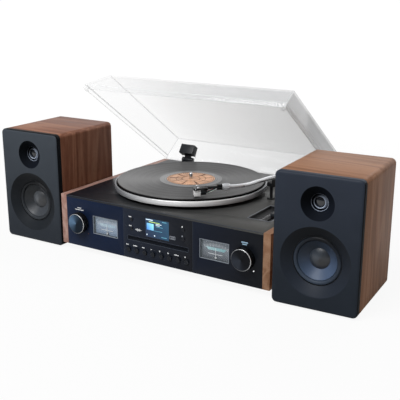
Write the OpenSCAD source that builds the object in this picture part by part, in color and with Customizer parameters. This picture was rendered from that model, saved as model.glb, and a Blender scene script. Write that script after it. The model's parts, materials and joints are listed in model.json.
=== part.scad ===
// Stereo music centre: a turntable, disc slot and tuner in one wooden cased unit,
// with two shelf speakers beside it.
// X runs to the right, Y to the back and Z up. The origin is on the floor, below the
// middle of the main unit's front edge. Lengths are in millimetres.

/* [Main unit] */
// Width over the wooden side panels
unit_w = 472; // [464:1:484]
// Depth from the front panel to the rear panel
unit_d = 364; // [360:1:384]
// Height of the deck's top face above the floor
deck_z = 116; // [114:1:126]
// Thickness of the wooden side panels
side_t = 14; // [12:0.5:18]
// Thickness of the deck plate
deck_t = 4; // [3:0.5:5]
// Thickness of the front panel
panel_t = 5; // [4.5:0.5:7]
// Thickness of the sheet metal base and back
sheet_t = 2; // [1.5:0.5:3]
// Height of the screw flanges on the sheet metal
flange_h = 12; // [10:1:16]
// Height of the rubber feet
foot_h = 13; // [12:0.5:16]
// Radius of the rubber feet
foot_r = 18; // [14:1:22]
// Distance of the feet from the unit's sides, front and back
foot_inset = 45; // [36:1:60]

/* [Front controls] */
// Width of the centre fascia
fascia_w = 158; // [154:1:164]
// Depth of the pocket that the centre fascia lies in
fascia_t = 2; // [1.5:0.25:2.5]
// Width of the display
display_w = 55; // [50:1:60]
// Height of the display
display_h = 38.5; // [34:0.5:40]
// Height of the display's middle above the floor
display_z = 82.2; // [81:0.2:84]
// Width of the disc slot
slot_w = 138; // [132:1:142]
// Height of the disc slot
slot_h = 8.2; // [7:0.2:9]
// Height of the disc slot's middle above the floor
slot_z = 54.6; // [53:0.2:56]
// Radius of the round buttons in the lower row
button_r = 4.2; // [3.5:0.1:4.8]
// Distance between the buttons of the lower row
button_pitch = 19; // [17:0.5:19.5]
// Height of the lower row of buttons above the floor
button_row_z = 31; // [29:0.5:34]
// Radius of the four small buttons beside the display
small_button_r = 2.8; // [2:0.1:3.4]
// Distance of the small buttons from the middle
small_button_x = 59; // [54:1:64]
// Height of the lower pair of small buttons
small_button_z = 73.5; // [71:0.5:76]
// Distance from the lower to the upper pair of small buttons
small_button_rise = 18; // [15:0.5:20]
// Travel of every button
button_travel = 1.2; // [0.6:0.1:1.2]
// Distance of the knobs from the middle
knob_x = 186.7; // [184:0.5:190]
// Height of the knobs above the floor
knob_z = 64; // [58:0.5:70]
// Radius of the knobs
knob_r = 21; // [17:0.5:23]
// Length of the knobs in front of the panel
knob_l = 15; // [10:0.5:20]
// Distance of the meters from the middle
meter_x = 124.3; // [122:0.5:127]
// Height of the meters' middle above the floor
meter_z = 64.3; // [62:0.5:68]
// Width of a meter window
meter_w = 61.3; // [56:0.5:63]
// Height of a meter window
meter_h = 37; // [35:0.5:40]

/* [Turntable] */
// Distance of the spindle to the left of the middle
spindle_x = 37; // [34:1:44]
// Distance of the spindle behind the front panel
spindle_y = 173.5; // [172:0.5:178]
// Radius of the spindle's free end
spindle_r = 3.6; // [3.5:0.05:3.7]
// Radius of the platter
platter_r = 156.5; // [154:0.5:157]
// Height of the platter's rim
platter_h = 10.2; // [9:0.2:12]
// Gap between the deck and the platter
platter_gap = 6.5; // [6:0.5:8]
// Thickness of the platter's mat
mat_t = 3; // [2:0.5:4]
// Radius of the record
record_r = 150.8; // [149:0.2:151]
// Thickness of the record
record_t = 1.7; // [1.4:0.1:2]
// Radius of the platter shaft
shaft_r = 4; // [3.5:0.25:5]
// Running clearance of shafts in their bores, on the radius
running = 0.05; // [0.02:0.01:0.08]

/* [Tonearm] */
// Distance of the arm's pivot to the right of the middle
pivot_x = 160; // [158:1:164]
// Distance of the arm's pivot behind the front panel
pivot_y = 262; // [260:1:266]
// Direction of the arm at rest, in degrees from the X axis
arm_heading = 239.2; // [238:0.2:241]
// Radius of the arm tube
tube_r = 4; // [3:0.25:4.5]
// Length of the straight piece behind the first bend
tube_rear_l = 44.5; // [42:0.5:48]
// Length of the straight piece between the bends
tube_mid_l = 54.5; // [50:0.5:58]
// Radius of the first bend
bend1_r = 60; // [56:1:64]
// Radius of the second bend
bend2_r = 58; // [54:1:62]
// Gap between the stylus and the record
stylus_gap = 0.3; // [0.2:0.1:0.6]
// Radius of the counterweight
weight_r = 14; // [11:0.5:14]
// Length of the counterweight
weight_l = 26; // [20:1:28]

/* [Dust cover] */
// Distance of the cover's sides from the unit's sides
cover_inset = 12.5; // [11.5:0.5:14]
// Height of the cover over its rim
cover_h = 55; // [53:1:60]
// Height of the upright skirt round the cover's rim
cover_skirt = 9; // [7:0.5:12]
// How far the sides lean in above the skirt
cover_lean_side = 16.5; // [12:0.5:18]
// How far the front leans in above the skirt
cover_lean_front = 44; // [36:0.5:45]
// How far the back leans in above the skirt
cover_lean_back = 4; // [2:0.5:6]
// Thickness of the cover's walls
cover_t = 3; // [2.5:0.25:3]
// Gap between the closed cover's rim and the deck
cover_gap = 3; // [2.5:0.25:4]
// Angle at which the cover stands open
cover_open = 35; // [25:1:38]
// Distance of the two hinges from the middle
hinge_x = 163; // [150:1:170]

/* [Speakers] */
// Width of a speaker
speaker_w = 150.5; // [146:0.5:152]
// Depth of a speaker's wooden cabinet
speaker_d = 164; // [150:1:190]
// Height of a speaker without its feet
speaker_h = 231; // [226:1:250]
// Thickness of the cabinet's walls
cabinet_t = 12; // [9:0.5:13]
// Thickness of the front baffle
baffle_t = 11.5; // [11:0.5:14]
// Radius of the speaker's long corners
corner_r = 9; // [6:0.5:11]
// Rounding of the baffle's front edge
baffle_edge_r = 5; // [2:0.5:5.5]
// Height of the speaker's rubber pads
pad_h = 3; // [2:0.5:5]
// Share of the baffle's free height that lies below the woofer
woofer_share = 0.44; // [0.38:0.01:0.46]
// Radius of the woofer's dish in the baffle
woofer_dish_r = 60.4; // [58:0.2:61]
// Radius of the woofer's opening
woofer_r = 43; // [42:0.5:45]
// Radius of the woofer's dust cap
cap_r = 18; // [15:0.5:20]
// Travel of the woofer's cone each way
cone_travel = 3; // [1:0.5:3]
// Share of the baffle's free height that lies above the tweeter
tweeter_share = 0.35; // [0.3:0.01:0.38]
// Radius of the tweeter's dish in the baffle
tweeter_dish_r = 28.3; // [26:0.2:30]
// Radius of the tweeter's dome
dome_r = 12.5; // [10:0.5:13]
// Distance of the left speaker from the middle
left_speaker_x = 313.5; // [312:0.5:340]
// How far the left cabinet's front stands behind the unit's front
left_speaker_y = 6.5; // [-10:0.5:20]
// Angle by which the left speaker is turned
left_speaker_turn = 1; // [0:0.5:3]
// Distance of the right speaker from the middle
right_speaker_x = 322; // [321.5:0.5:350]
// How far the right cabinet's front stands behind the unit's front
right_speaker_y = -2; // [-15:0.5:10]
// Angle by which the right speaker is turned
right_speaker_turn = 3; // [0:0.5:4]

/* [Hidden] */
$fn = 96;
e = 0.01;             // overshoot of every cut
fit_gap = 0.3;        // gap between pieces that move past each other
seat_gap = 0.1;       // gap round a piece that is set into an opening

inner_x = unit_w / 2 - side_t;
panel_top = deck_z - deck_t;
foot_x = unit_w / 2 - foot_inset;
foot_ys = [foot_inset, unit_d - foot_inset];
front_y = 0;
board_y = panel_t + 4;
board_t = 1.6;
board_w = fascia_w - 10;

// Front controls
row_xs = [for (i = [0:7]) (i - 3.5) * button_pitch];
small_sites = [for (sx = [-1, 1], k = [0, 1])
    [sx * small_button_x, small_button_z + k * small_button_rise]];
button_proud = 3;
small_button_proud = 1.5;
button_flange = 1;
flange_t = 1.2;
button_stem_r = 1.5;
switch_size = 6;
switch_h = board_y - panel_t - 0.5;
stem_end = board_y - switch_h - button_travel - 0.2;
encoder_shaft_r = 3;
encoder_size = 14;
encoder_d = 12;

// Meters
window_rim = 1.9;
window_t = 1.5;
window_y = 1;
housing_y = window_y + window_t;
housing_w = meter_w + 2 * window_rim;
housing_h = meter_h + 2 * window_rim;
housing_d = 26;
housing_t = 2;
dial_y = 7.5;
dial_t = 1;
needle_y = 5.4;
needle_t = 0.6;
needle_w = 0.8;
needle_l = 19;
needle_hub_r = 2;
needle_shaft_r = 0.8;
needle_z = meter_z - meter_h / 2 + 3.2;

// Turntable
platter_z = deck_z + platter_gap;
platter_top = platter_z + platter_h;
mat_seat = 0.9;
mat_r = platter_r - 6.5;
mat_z = platter_top - mat_seat;
record_z = mat_z + mat_t;
record_top = record_z + record_t;
hub_r = 20;
hub_h = 2;
rotor_r = 34;
rotor_h = 2;
rotor_z = platter_z - hub_h - rotor_h;
stator_r = 50;
stator_t = 3;
bearing_r = 9;
bearing_drop = 41;
motor_hole_r = rotor_r + 2;
spindle_top = record_top + 13;

// Slider recess in the deck's right front
well_x = 181;
well_y = 105;
well_w = 46;
well_l = 90;
well_t = 2;
well_depth = 5;
slider_x = 190;
slider_slot_w = 2.8;
slider_slot_l = 72;
slider_track_h = 8;
slider_track_w = 12;
slider_cap = [14, 9];
slider_tongue_l = 6;
slider_proud = 1;

// Tonearm, in a frame at its pivot with X along the arm and Y to its left
arm_z = record_top + 16.5;
heading0 = -4.5;
heading1 = 21;
heading2 = -18;
bend_lap = 0.5;
bend_step = 0.05;     // how much thinner the bends are than the straight pieces
collar_start = 5;
collar_l = 14.5;
collar_r = 6.3;
shell_ring_l = 11;
shell_neck_l = 18;
shell_l = 27;
shell_w = 18;
shell_t = 4;
arm_base_r = 38;
arm_base_h = 5;
arm_column_r = 15;
arm_column_h = 19;
arm_shaft_r = 6;
arm_shaft_drop = 18;
arm_socket_r = 12;
arm_socket_drop = 20;
arm_socket_h = 5;     // how far the gimbal's plate stands below the top of its column
arm_hole_r = 20;
gimbal_h = 3.6;
block_w = 20;
block_h = 12.5;
yoke_in = 13;
yoke_t = 4;
yoke_l = 10;
trunnion_r = 1.5;
stub_r = 5;
stub_end = 56;
weight_start = 24;
platform_r = 29;
platform_w = 4;
platform_h = 4;
platform_drop = tube_r + 0.4;
platform_rod_r = 2.5;
platform_tube_r = 5;
platform_sweep = 52;
lever_u = 18;
lever_v = 24;
lever_z = deck_z + arm_base_h + 7;
lever_hub_r = 4;
lever_w = 5.4;
lever_l = 30;
lever_pin_r = 1.5;
lever_ear_t = 3;
lever_ear_gap = 0.3;
dial_v = 25;
dial_r = 7;
dial_h = 7;
dial_pin_r = 2.5;
rest_angle = 11;
rest_reach = 72;
rest_shift = 2.1;
rest_foot_r = 8;
rest_post_r = 3;
rest_w = 10;
rest_h = 7.5;
rest_hook_t = 3.5;
rest_hook_gap = 1.5;

// Dust cover
cover_w = unit_w - 2 * cover_inset;
cover_z = deck_z + cover_gap;
cover_front = 5;
cover_back = unit_d - 8;
hinge_y = unit_d - 9;
hinge_z = deck_z + 7.5;
hinge_w = 27;
cheek_t = 6;
cheek_r = 6.5;
pin_r = 2.5;
knuckle_r = 5;
block_x = 36;
hinge_block_h = 22;
hinge_block_z = hinge_z + 9;
hinge_block_d = 14;
notch_h = hinge_block_z - cover_z + 3;

// Speakers
baffle_free = speaker_h - 2 * (woofer_dish_r + tweeter_dish_r);
woofer_z = pad_h + woofer_share * baffle_free + woofer_dish_r;
tweeter_z = pad_h + speaker_h - tweeter_share * baffle_free - tweeter_dish_r;
cavity_d = speaker_d - cabinet_t;
dish_d = 10;
frame_t = 3;
roll_r = 3.6;
roll_t = 1;
cone_edge_r = woofer_r - 8.5 - fit_gap;
cone_edge_d = baffle_t + 1.2;
former_r = 13;
magnet_r = 36;
magnet_d = 20;
magnet_front = baffle_t + 38;
cone_depth = 15;
cone_t = 1;
cone_throat_r = former_r - 0.6;
cap_h = 5;
tweeter_body_r = 24;
terminal_x = 0;
terminal_z = 60;
terminal_size = 46;

wood = "saddlebrown";
dark = [0.1, 0.11, 0.13];
blue_black = [0.11, 0.13, 0.19];
metal = "silver";

// ---------------------------------------------------------------- small helpers

// A cylinder that runs along +Y from y to y + l
module y_rod(r, l, x = 0, y = 0, z = 0) {
    translate([x, y, z]) rotate([-90, 0, 0]) cylinder(r = r, h = l);
}

// A cylinder that runs along X, centred on x
module x_rod(r, l, x = 0, y = 0, z = 0) {
    translate([x, y, z]) rotate([0, 90, 0]) cylinder(r = r, h = l, center = true);
}

// A block centred in X on x and in Z on z, from y backwards
module y_block(w, l, h, x = 0, y = 0, z = 0) {
    translate([x - w / 2, y, z - h / 2]) cube([w, l, h]);
}

// A rectangle with round corners, centred
module rounded_rect(w, h, r) {
    square([w - 2 * r, h], center = true);
    square([w, h - 2 * r], center = true);
    for (sx = [-1, 1], sy = [-1, 1])
        translate([sx * (w / 2 - r), sy * (h / 2 - r)]) circle(r = r);
}

module at_spindle(z = 0) {
    translate([-spindle_x, spindle_y, z]) children();
}

// ---------------------------------------------------------------- case

module base_pan() {
    back = unit_d - sheet_t;
    color("dimgray") difference() {
        union() {
            translate([-inner_x, panel_t, foot_h])
                cube([2 * inner_x, back - panel_t, sheet_t]);
            translate([-inner_x, back - sheet_t, foot_h])
                cube([2 * inner_x, sheet_t, sheet_t + flange_h]);
            for (sx = [-1, 1])
                translate([sx * (inner_x - sheet_t / 2) - sheet_t / 2, panel_t, foot_h])
                    cube([sheet_t, back - panel_t, sheet_t + flange_h]);
        }
        for (x = rear_screw_xs) y_rod(screw_r + seat_gap, 4 * sheet_t, x, back - 2 * sheet_t, low_screw_z);
        for (y = side_screw_ys, sx = [-1, 1])
            x_rod(screw_r + seat_gap, 4 * sheet_t, sx * inner_x, y, low_screw_z);
        for (sx = [-1, 1], y = foot_ys)
            translate([sx * foot_x, y, 0]) cylinder(r = screw_r + seat_gap, h = 2 * foot_h);
    }
}

module top_deck() {
    back = unit_d - sheet_t;
    color(dark) difference() {
        union() {
            translate([-inner_x, front_y, panel_top]) cube([2 * inner_x, unit_d, deck_t]);
            translate([-inner_x, back - sheet_t, panel_top - flange_h])
                cube([2 * inner_x, sheet_t, flange_h + e]);
        }
        at_spindle() cylinder(r = motor_hole_r, h = 2 * deck_z);
        translate([pivot_x, pivot_y, 0]) cylinder(r = arm_hole_r, h = 2 * deck_z);
        translate([well_x - well_w / 2 - seat_gap, well_y - well_l / 2 - seat_gap, 0])
            cube([well_w + 2 * seat_gap, well_l + 2 * seat_gap, 2 * deck_z]);
        for (x = rear_screw_xs)
            y_rod(screw_r + seat_gap, 4 * sheet_t, x, back - 2 * sheet_t, high_screw_z);
    }
}

module side_panel(side) {
    color(wood) difference() {
        translate([side * (unit_w / 2 - side_t / 2) - side_t / 2, front_y, foot_h])
            cube([side_t, unit_d, deck_z - foot_h]);
        for (y = side_screw_ys)
            x_rod(screw_r + seat_gap, 2 * (side_screw_l + seat_gap), side * inner_x, y, low_screw_z);
    }
}

module side_panel_left() {
    side_panel(-1);
}

module side_panel_right() {
    side_panel(1);
}

module front_panel() {
    color(blue_black) difference() {
        union() {
            y_block(2 * inner_x, panel_t, panel_top - foot_h, 0, front_y, (panel_top + foot_h) / 2);
            for (sx = [-1, 1], z = board_post_zs)
                y_rod(3, board_y - panel_t, sx * board_post_x, panel_t, z);
        }
        y_block(fascia_w + 2 * seat_gap, fascia_t + e, 2 * deck_z, 0, front_y - e, deck_z / 2);
        y_block(display_w, 4 * panel_t, display_h, 0, -panel_t, display_z);
        y_block(slot_w, 4 * panel_t, slot_h, 0, -panel_t, slot_z);
        for (x = row_xs)
            y_rod(button_r + button_flange + fit_gap, 4 * panel_t, x, -panel_t, button_row_z);
        for (p = small_sites)
            y_rod(small_button_r + button_flange + fit_gap, 4 * panel_t, p[0], -panel_t, p[1]);
        for (sx = [-1, 1]) {
            y_rod(encoder_shaft_r + 2, 4 * panel_t, sx * knob_x, -panel_t, knob_z);
            y_block(meter_w, 4 * panel_t, meter_h, sx * meter_x, -panel_t, meter_z);
            y_block(housing_w + 2 * seat_gap, 4 * panel_t, housing_h + 2 * seat_gap,
                sx * meter_x, window_y, meter_z);
        }
    }
}

module centre_fascia() {
    color(dark) difference() {
        y_block(fascia_w, fascia_t, panel_top - foot_h, 0, front_y, (panel_top + foot_h) / 2);
        y_block(display_w, 4 * panel_t, display_h, 0, -panel_t, display_z);
        y_block(slot_w, 4 * panel_t, slot_h, 0, -panel_t, slot_z);
        for (x = row_xs) y_rod(button_r + fit_gap, 4 * panel_t, x, -panel_t, button_row_z);
        for (p = small_sites) y_rod(small_button_r + fit_gap, 4 * panel_t, p[0], -panel_t, p[1]);
    }
}

module rear_panel() {
    back = unit_d - sheet_t;
    color("dimgray") difference() {
        y_block(2 * inner_x, sheet_t, panel_top - foot_h, 0, back, (panel_top + foot_h) / 2);
        for (x = rear_screw_xs, z = [low_screw_z, high_screw_z])
            y_rod(screw_r + seat_gap, 4 * sheet_t, x, back - sheet_t, z);
        for (p = jack_sites) y_rod(jack_r + seat_gap, 4 * sheet_t, p[0], back - sheet_t, p[1]);
        for (x = post_xs) y_rod(post_r + seat_gap, 4 * sheet_t, x, back - sheet_t, post_z);
        y_block(inlet_w + 2 * seat_gap, 4 * sheet_t, inlet_h + 2 * seat_gap,
            inlet_x, back - sheet_t, inlet_z);
    }
}

module rubber_feet() {
    color("black") {
        for (sx = [-1, 1], y = foot_ys)
            translate([sx * foot_x, y, 0]) difference() {
                cylinder(r = foot_r, h = foot_h);
                translate([0, 0, -e]) cylinder(r = 2 * screw_r + 1, h = foot_h / 2);
                cylinder(r = screw_r + seat_gap, h = 2 * foot_h);
            }
        for (side = [-1, 1])
            at_speaker(side)
                for (sx = [-1, 1], y = [baffle_t + 6, speaker_d - 22])
                    translate([sx * (speaker_w / 2 - 21), y, 0]) cylinder(r = 8, h = pad_h);
    }
}

// Case screws: along the rear panel's two flanges, into the side panels and through the feet
screw_r = 1.5;
screw_head_h = 1.8;
side_screw_l = 10;
rear_screw_xs = [for (i = [-2:2]) i * (inner_x - 12) / 2];
side_screw_ys = [for (i = [0:3]) 40 + i * (unit_d - 80) / 3];
low_screw_z = foot_h + sheet_t + flange_h / 2;
high_screw_z = panel_top - flange_h / 2;
board_post_x = board_w / 2 - 4;
board_post_zs = [foot_h + 6, panel_top - 5];

module screw(l) {
    translate([0, 0, -screw_head_h]) cylinder(r = 2 * screw_r, h = screw_head_h);
    cylinder(r = screw_r, h = l);
}

module case_screws() {
    color(metal) {
        for (x = rear_screw_xs, z = [low_screw_z, high_screw_z])
            translate([x, unit_d, z]) rotate([90, 0, 0]) screw(2 * sheet_t + 4);
        for (sx = [-1, 1], y = side_screw_ys)
            translate([sx * (inner_x - sheet_t), y, low_screw_z])
                rotate([0, sx * 90, 0]) screw(sheet_t + side_screw_l);
        for (sx = [-1, 1], y = foot_ys)
            translate([sx * foot_x, y, foot_h / 2 - e]) screw(foot_h / 2 + sheet_t + 4);
    }
}

// ---------------------------------------------------------------- behind the front panel

module meter_housings() {
    color("black") for (sx = [-1, 1]) translate([sx * meter_x, 0, 0]) difference() {
        union() {
            difference() {
                y_block(housing_w, housing_d, housing_h, 0, housing_y, meter_z);
                y_block(meter_w, housing_d, meter_h, 0, housing_y - housing_t, meter_z);
            }
            y_block(meter_w, dial_t, meter_h, 0, dial_y, meter_z);
            y_block(20, housing_y + housing_d - dial_y - e, 16, 0, dial_y, meter_z - meter_h / 2 + 8);
        }
        y_rod(needle_shaft_r + running, 12, 0, dial_y - e, needle_z);
    }
}

module meter_windows() {
    color([0.8, 0.9, 1, 0.4]) for (sx = [-1, 1])
        y_block(housing_w, window_t, housing_h, sx * meter_x, window_y, meter_z);
}

module meter_needle(side) {
    color("orangered") translate([side * meter_x, 0, needle_z]) {
        y_rod(needle_hub_r, needle_t + 0.6, 0, needle_y);
        y_rod(needle_shaft_r, 9, 0, needle_y);
        y_block(needle_w, needle_t, needle_l, 0, needle_y, needle_l / 2);
    }
}

module meter_needle_left() {
    meter_needle(-1);
}

module meter_needle_right() {
    meter_needle(1);
}

module display_module() {
    color("midnightblue")
        y_block(display_w - 2 * seat_gap, board_y - 0.4, display_h - 2 * seat_gap, 0, 0.4, display_z);
}

// A push button: its cap, the flange that keeps it behind the fascia, and its stem
module push_button(r, proud, x, z) {
    color("gainsboro") {
        y_rod(r, proud + fascia_t + fit_gap + flange_t, x, -proud, z);
        y_rod(r + button_flange, flange_t, x, fascia_t + fit_gap, z);
        y_rod(button_stem_r, stem_end - fascia_t, x, fascia_t, z);
    }
}

module row_button(i) {
    push_button(button_r, button_proud, row_xs[i], button_row_z);
}

module small_button(i) {
    push_button(small_button_r, small_button_proud, small_sites[i][0], small_sites[i][1]);
}

module knob(side) {
    chamfer = 1.2;
    color("dimgray") translate([side * knob_x, 0, knob_z]) difference() {
        union() {
            y_rod(knob_r, knob_l - 0.6 - chamfer, 0, chamfer - knob_l);
            translate([0, -knob_l, 0]) rotate([-90, 0, 0])
                cylinder(r1 = knob_r - chamfer, r2 = knob_r, h = chamfer);
            y_rod(encoder_shaft_r, encoder_d + panel_t, 0, -1);
        }
        translate([0, -knob_l - e, 0]) rotate([-90, 0, 0])
            cylinder(r1 = knob_r - 3, r2 = knob_r - 3.6, h = 0.6);
    }
}

module volume_knob() {
    knob(-1);
}

module tuning_knob() {
    knob(1);
}

module control_boards() {
    low = board_post_zs[0] - 4;
    high = board_post_zs[1] + 4;
    color("darkgreen") {
        difference() {
            y_block(board_w, board_t, high - low, 0, board_y, (high + low) / 2);
            y_block(slot_w - 10, 6 * board_t, slot_h + 5, 0, board_y - board_t, slot_z);
        }
        for (x = row_xs) y_block(switch_size, switch_h, switch_size, x, board_y - switch_h, button_row_z);
        for (p = small_sites)
            y_block(switch_size, switch_h, switch_size, p[0], board_y - switch_h, p[1]);
        for (sx = [-1, 1]) difference() {
            union() {
                y_rod(encoder_size / 2, 4, sx * knob_x, panel_t, knob_z);
                y_block(encoder_size, encoder_d - 4, encoder_size, sx * knob_x, panel_t + 4, knob_z);
            }
            y_rod(encoder_shaft_r + running, encoder_d - 1 + e, sx * knob_x, panel_t - e, knob_z);
        }
    }
}

// ---------------------------------------------------------------- inside the case

drive_y = board_y + board_t + 0.4;
drive_l = 160;
drive_h = 30;
drive_w = 146;
disc_w = 128;
disc_l = 138;
disc_gap = 6.5;

module disc_drive() {
    low = slot_z - 16;
    color("slategray") difference() {
        union() {
            y_block(drive_w, drive_l, drive_h, 0, drive_y, low + drive_h / 2);
            for (sx = [-1, 1], y = [drive_y + 4, drive_y + drive_l - 14])
                y_block(10, 10, low - foot_h - sheet_t + e, sx * (drive_w / 2 - 8), y,
                    (low + foot_h + sheet_t) / 2);
        }
        y_block(disc_w, disc_l + e, disc_gap, 0, drive_y - e, slot_z);
    }
}

module platter_motor() {
    flange_z = panel_top - stator_t;
    color("goldenrod") at_spindle() difference() {
        union() {
            translate([0, 0, flange_z]) cylinder(r = stator_r, h = stator_t);
            translate([0, 0, flange_z - bearing_drop + stator_t])
                cylinder(r = bearing_r, h = rotor_z - 1 - flange_z + bearing_drop - stator_t);
            for (i = [0:8])
                rotate([0, 0, 40 * i]) translate([22, 0, panel_top - e])
                    cylinder(r = 4.5, h = rotor_z - 1 - panel_top);
        }
        translate([0, 0, flange_z - bearing_drop + stator_t + 2])
            cylinder(r = shaft_r + running, h = bearing_drop + deck_z);
    }
}

module slider_well() {
    floor_z = deck_z - well_depth - well_t;
    color("black") difference() {
        union() {
            translate([well_x - well_w / 2, well_y - well_l / 2, floor_z])
                cube([well_w, well_l, well_depth + well_t]);
            translate([slider_x - slider_track_w / 2, well_y - slider_slot_l / 2 - 2 * well_t,
                floor_z - slider_track_h])
                cube([slider_track_w, slider_slot_l + 4 * well_t, slider_track_h + e]);
        }
        translate([well_x - well_w / 2 + well_t, well_y - well_l / 2 + well_t, floor_z + well_t])
            cube([well_w - 2 * well_t, well_l - 2 * well_t, deck_z]);
        translate([slider_x - slider_slot_w / 2, well_y - slider_slot_l / 2,
            floor_z - slider_track_h + well_t])
            cube([slider_slot_w, slider_slot_l, deck_z]);
    }
}

module pitch_slider() {
    floor_z = deck_z - well_depth;
    color("silver") {
        translate([slider_x - slider_cap[0] / 2, well_y - slider_cap[1] / 2, floor_z + fit_gap])
            cube([slider_cap[0], slider_cap[1], well_depth + slider_proud]);
        translate([slider_x - slider_slot_w / 2 + fit_gap, well_y - slider_tongue_l / 2,
            floor_z - slider_track_h])
            cube([slider_slot_w - 2 * fit_gap, slider_tongue_l, slider_track_h + well_t]);
    }
}

// Amplifier and tuner board at the left, power supply board at the back right.
// Each is [its left edge, its front edge, its width, its depth].
board_margin = 16;
amp_board = [board_margin - inner_x, drive_y + 56, 120, 170];
supply_board = [inner_x - board_margin - 120, unit_d - 154, 120, 110];
standoff_h = 8;
standoff_r = 3;
standoff_in = 6;
heat_sink = [60, 30, 26];
transformer = [56, 46, 40];
capacitor_r = 8;
capacitor_h = 26;

module board_on_standoffs(b) {
    floor_z = foot_h + sheet_t;
    translate([b[0], b[1], floor_z + standoff_h]) cube([b[2], b[3], board_t]);
    for (x = [standoff_in, b[2] - standoff_in], y = [standoff_in, b[3] - standoff_in])
        translate([b[0] + x, b[1] + y, floor_z]) cylinder(r = standoff_r, h = standoff_h + e);
}

module circuit_boards() {
    top = foot_h + sheet_t + standoff_h + board_t - e;
    color("darkgreen") {
        board_on_standoffs(amp_board);
        translate([amp_board[0] + 30, amp_board[1] + 80, top]) cube(heat_sink);
        for (i = [0:2])
            translate([amp_board[0] + 30 + 3 * capacitor_r * i, amp_board[1] + 40, top])
                cylinder(r = capacitor_r, h = capacitor_h);
        board_on_standoffs(supply_board);
        translate([supply_board[0] + 15, supply_board[1] + 15, top]) cube(transformer);
        for (i = [0:1])
            translate([supply_board[0] + 92, supply_board[1] + 24 + 3 * capacitor_r * i, top])
                cylinder(r = capacitor_r, h = capacitor_h);
    }
}

jack_r = 4.2;
jack_sites = [for (x = [-170, -150, -120, -100], z = [50, 70]) [x, z]];
post_r = 4.5;
post_xs = [-40, -20, 20, 40];
post_z = 45;
inlet_x = 170;
inlet_z = 45;
inlet_w = 26;
inlet_h = 20;
inlet_d = 16;
inlet_mouth = [18, 13];    // width and height of the socket's mouth
inlet_pin_x = 4.3;

// A binding post that stands out of a back face: a threaded stud with its turned cap
module binding_post(l) {
    y_rod(post_r, l);
    y_rod(post_r + 1.2, l - 5, 0, 4);
}

module rear_sockets() {
    back = unit_d - sheet_t;
    color("gold") {
        for (p = jack_sites) difference() {
            union() {
                y_rod(jack_r + 1.8, 8, p[0], back - 8, p[1]);
                y_rod(jack_r, sheet_t + 8, p[0], back - e, p[1]);
            }
            y_rod(1.7, 9, p[0], back + sheet_t, p[1]);
        }
        for (x = post_xs) translate([x, back - 6, post_z]) {
            y_rod(post_r, sheet_t + 18);
            y_rod(post_r + 1.2, 6);
            y_rod(post_r + 1.2, 8, 0, sheet_t + 8);
        }
        difference() {
            y_block(inlet_w, inlet_d, inlet_h, inlet_x, unit_d - inlet_d + 1, inlet_z);
            y_block(inlet_mouth[0], inlet_d, inlet_mouth[1], inlet_x, unit_d - inlet_d + 3, inlet_z);
        }
        for (sx = [-1, 1]) y_rod(1.2, 8, inlet_x + sx * inlet_pin_x, unit_d - inlet_d + 3 - e, inlet_z);
        for (side = [-1, 1]) at_speaker(side) {
            y_block(terminal_size, sheet_t, terminal_size, terminal_x, speaker_d, terminal_z);
            for (sx = [-1, 1])
                translate([terminal_x + sx * 11, speaker_d + sheet_t - e, terminal_z]) binding_post(16);
        }
    }
}

// ---------------------------------------------------------------- platter

module platter() {
    r = platter_r;
    color("silver") at_spindle() rotate_extrude() polygon([
        [shaft_r + running, platter_z - hub_h], [hub_r, platter_z - hub_h], [hub_r, platter_z],
        [r - 1, platter_z], [r, platter_z + 1], [r, platter_top - 1], [r - 1, platter_top],
        [mat_r + 0.4, platter_top], [mat_r + 0.4, mat_z], [shaft_r + running, mat_z]]);
}

module platter_mat() {
    color("black") at_spindle(mat_z) difference() {
        cylinder(r = mat_r, h = mat_t);
        translate([0, 0, -e]) cylinder(r = spindle_r + 0.4, h = 2 * mat_t);
    }
}

module record() {
    color([0.12, 0.12, 0.12]) at_spindle(record_z) difference() {
        cylinder(r = record_r, h = record_t);
        translate([0, 0, -e]) cylinder(r = spindle_r + running, h = 2 * record_t);
    }
}

module spindle() {
    bottom = panel_top - bearing_drop + 2 + fit_gap;
    tip = 2;
    color(metal) at_spindle() {
        translate([0, 0, bottom]) cylinder(r = shaft_r, h = mat_z - bottom);
        translate([0, 0, mat_z - e]) cylinder(r = spindle_r, h = spindle_top - tip - mat_z + e);
        translate([0, 0, spindle_top - tip]) cylinder(r1 = spindle_r, r2 = spindle_r - 1.6, h = tip);
        translate([0, 0, rotor_z]) cylinder(r = rotor_r, h = rotor_h);
    }
}

// ---------------------------------------------------------------- dust cover

// The cover is drawn closed and then opened about its hinge
module cover_opened() {
    translate([0, hinge_y, hinge_z]) rotate([-cover_open, 0, 0])
        translate([0, -hinge_y, -hinge_z]) children();
}

// The cover's outline seen from the side and from the front, drawn in by t
function lean_in(run) = cover_t * sqrt(1 + pow(run / (cover_h - cover_skirt), 2));

module cover_side_outline(inside) {
    t = inside ? 1 : 0;
    low = cover_z - (inside ? 1 : 0);
    knee = cover_z + cover_skirt;
    high = cover_z + cover_h - t * cover_t;
    part = (high - knee) / (cover_h - cover_skirt);
    front = cover_front;
    back = cover_back;
    polygon([[front + t * cover_t, low], [front + t * cover_t, knee],
        [front + t * lean_in(cover_lean_front) + part * cover_lean_front, high],
        [back - t * lean_in(cover_lean_back) - part * cover_lean_back, high],
        [back - t * cover_t, knee], [back - t * cover_t, low]]);
}

module cover_front_outline(inside) {
    t = inside ? 1 : 0;
    low = cover_z - (inside ? 1 : 0);
    knee = cover_z + cover_skirt;
    high = cover_z + cover_h - t * cover_t;
    part = (high - knee) / (cover_h - cover_skirt);
    half = cover_w / 2;
    polygon([for (s = [-1, 1], k = [0:2])
        let (i = s < 0 ? k : 2 - k,
            x = i < 2 ? half - t * cover_t
                : half - t * lean_in(cover_lean_side) - part * cover_lean_side)
        [s * x, [low, knee, high][i]]]);
}

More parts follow.
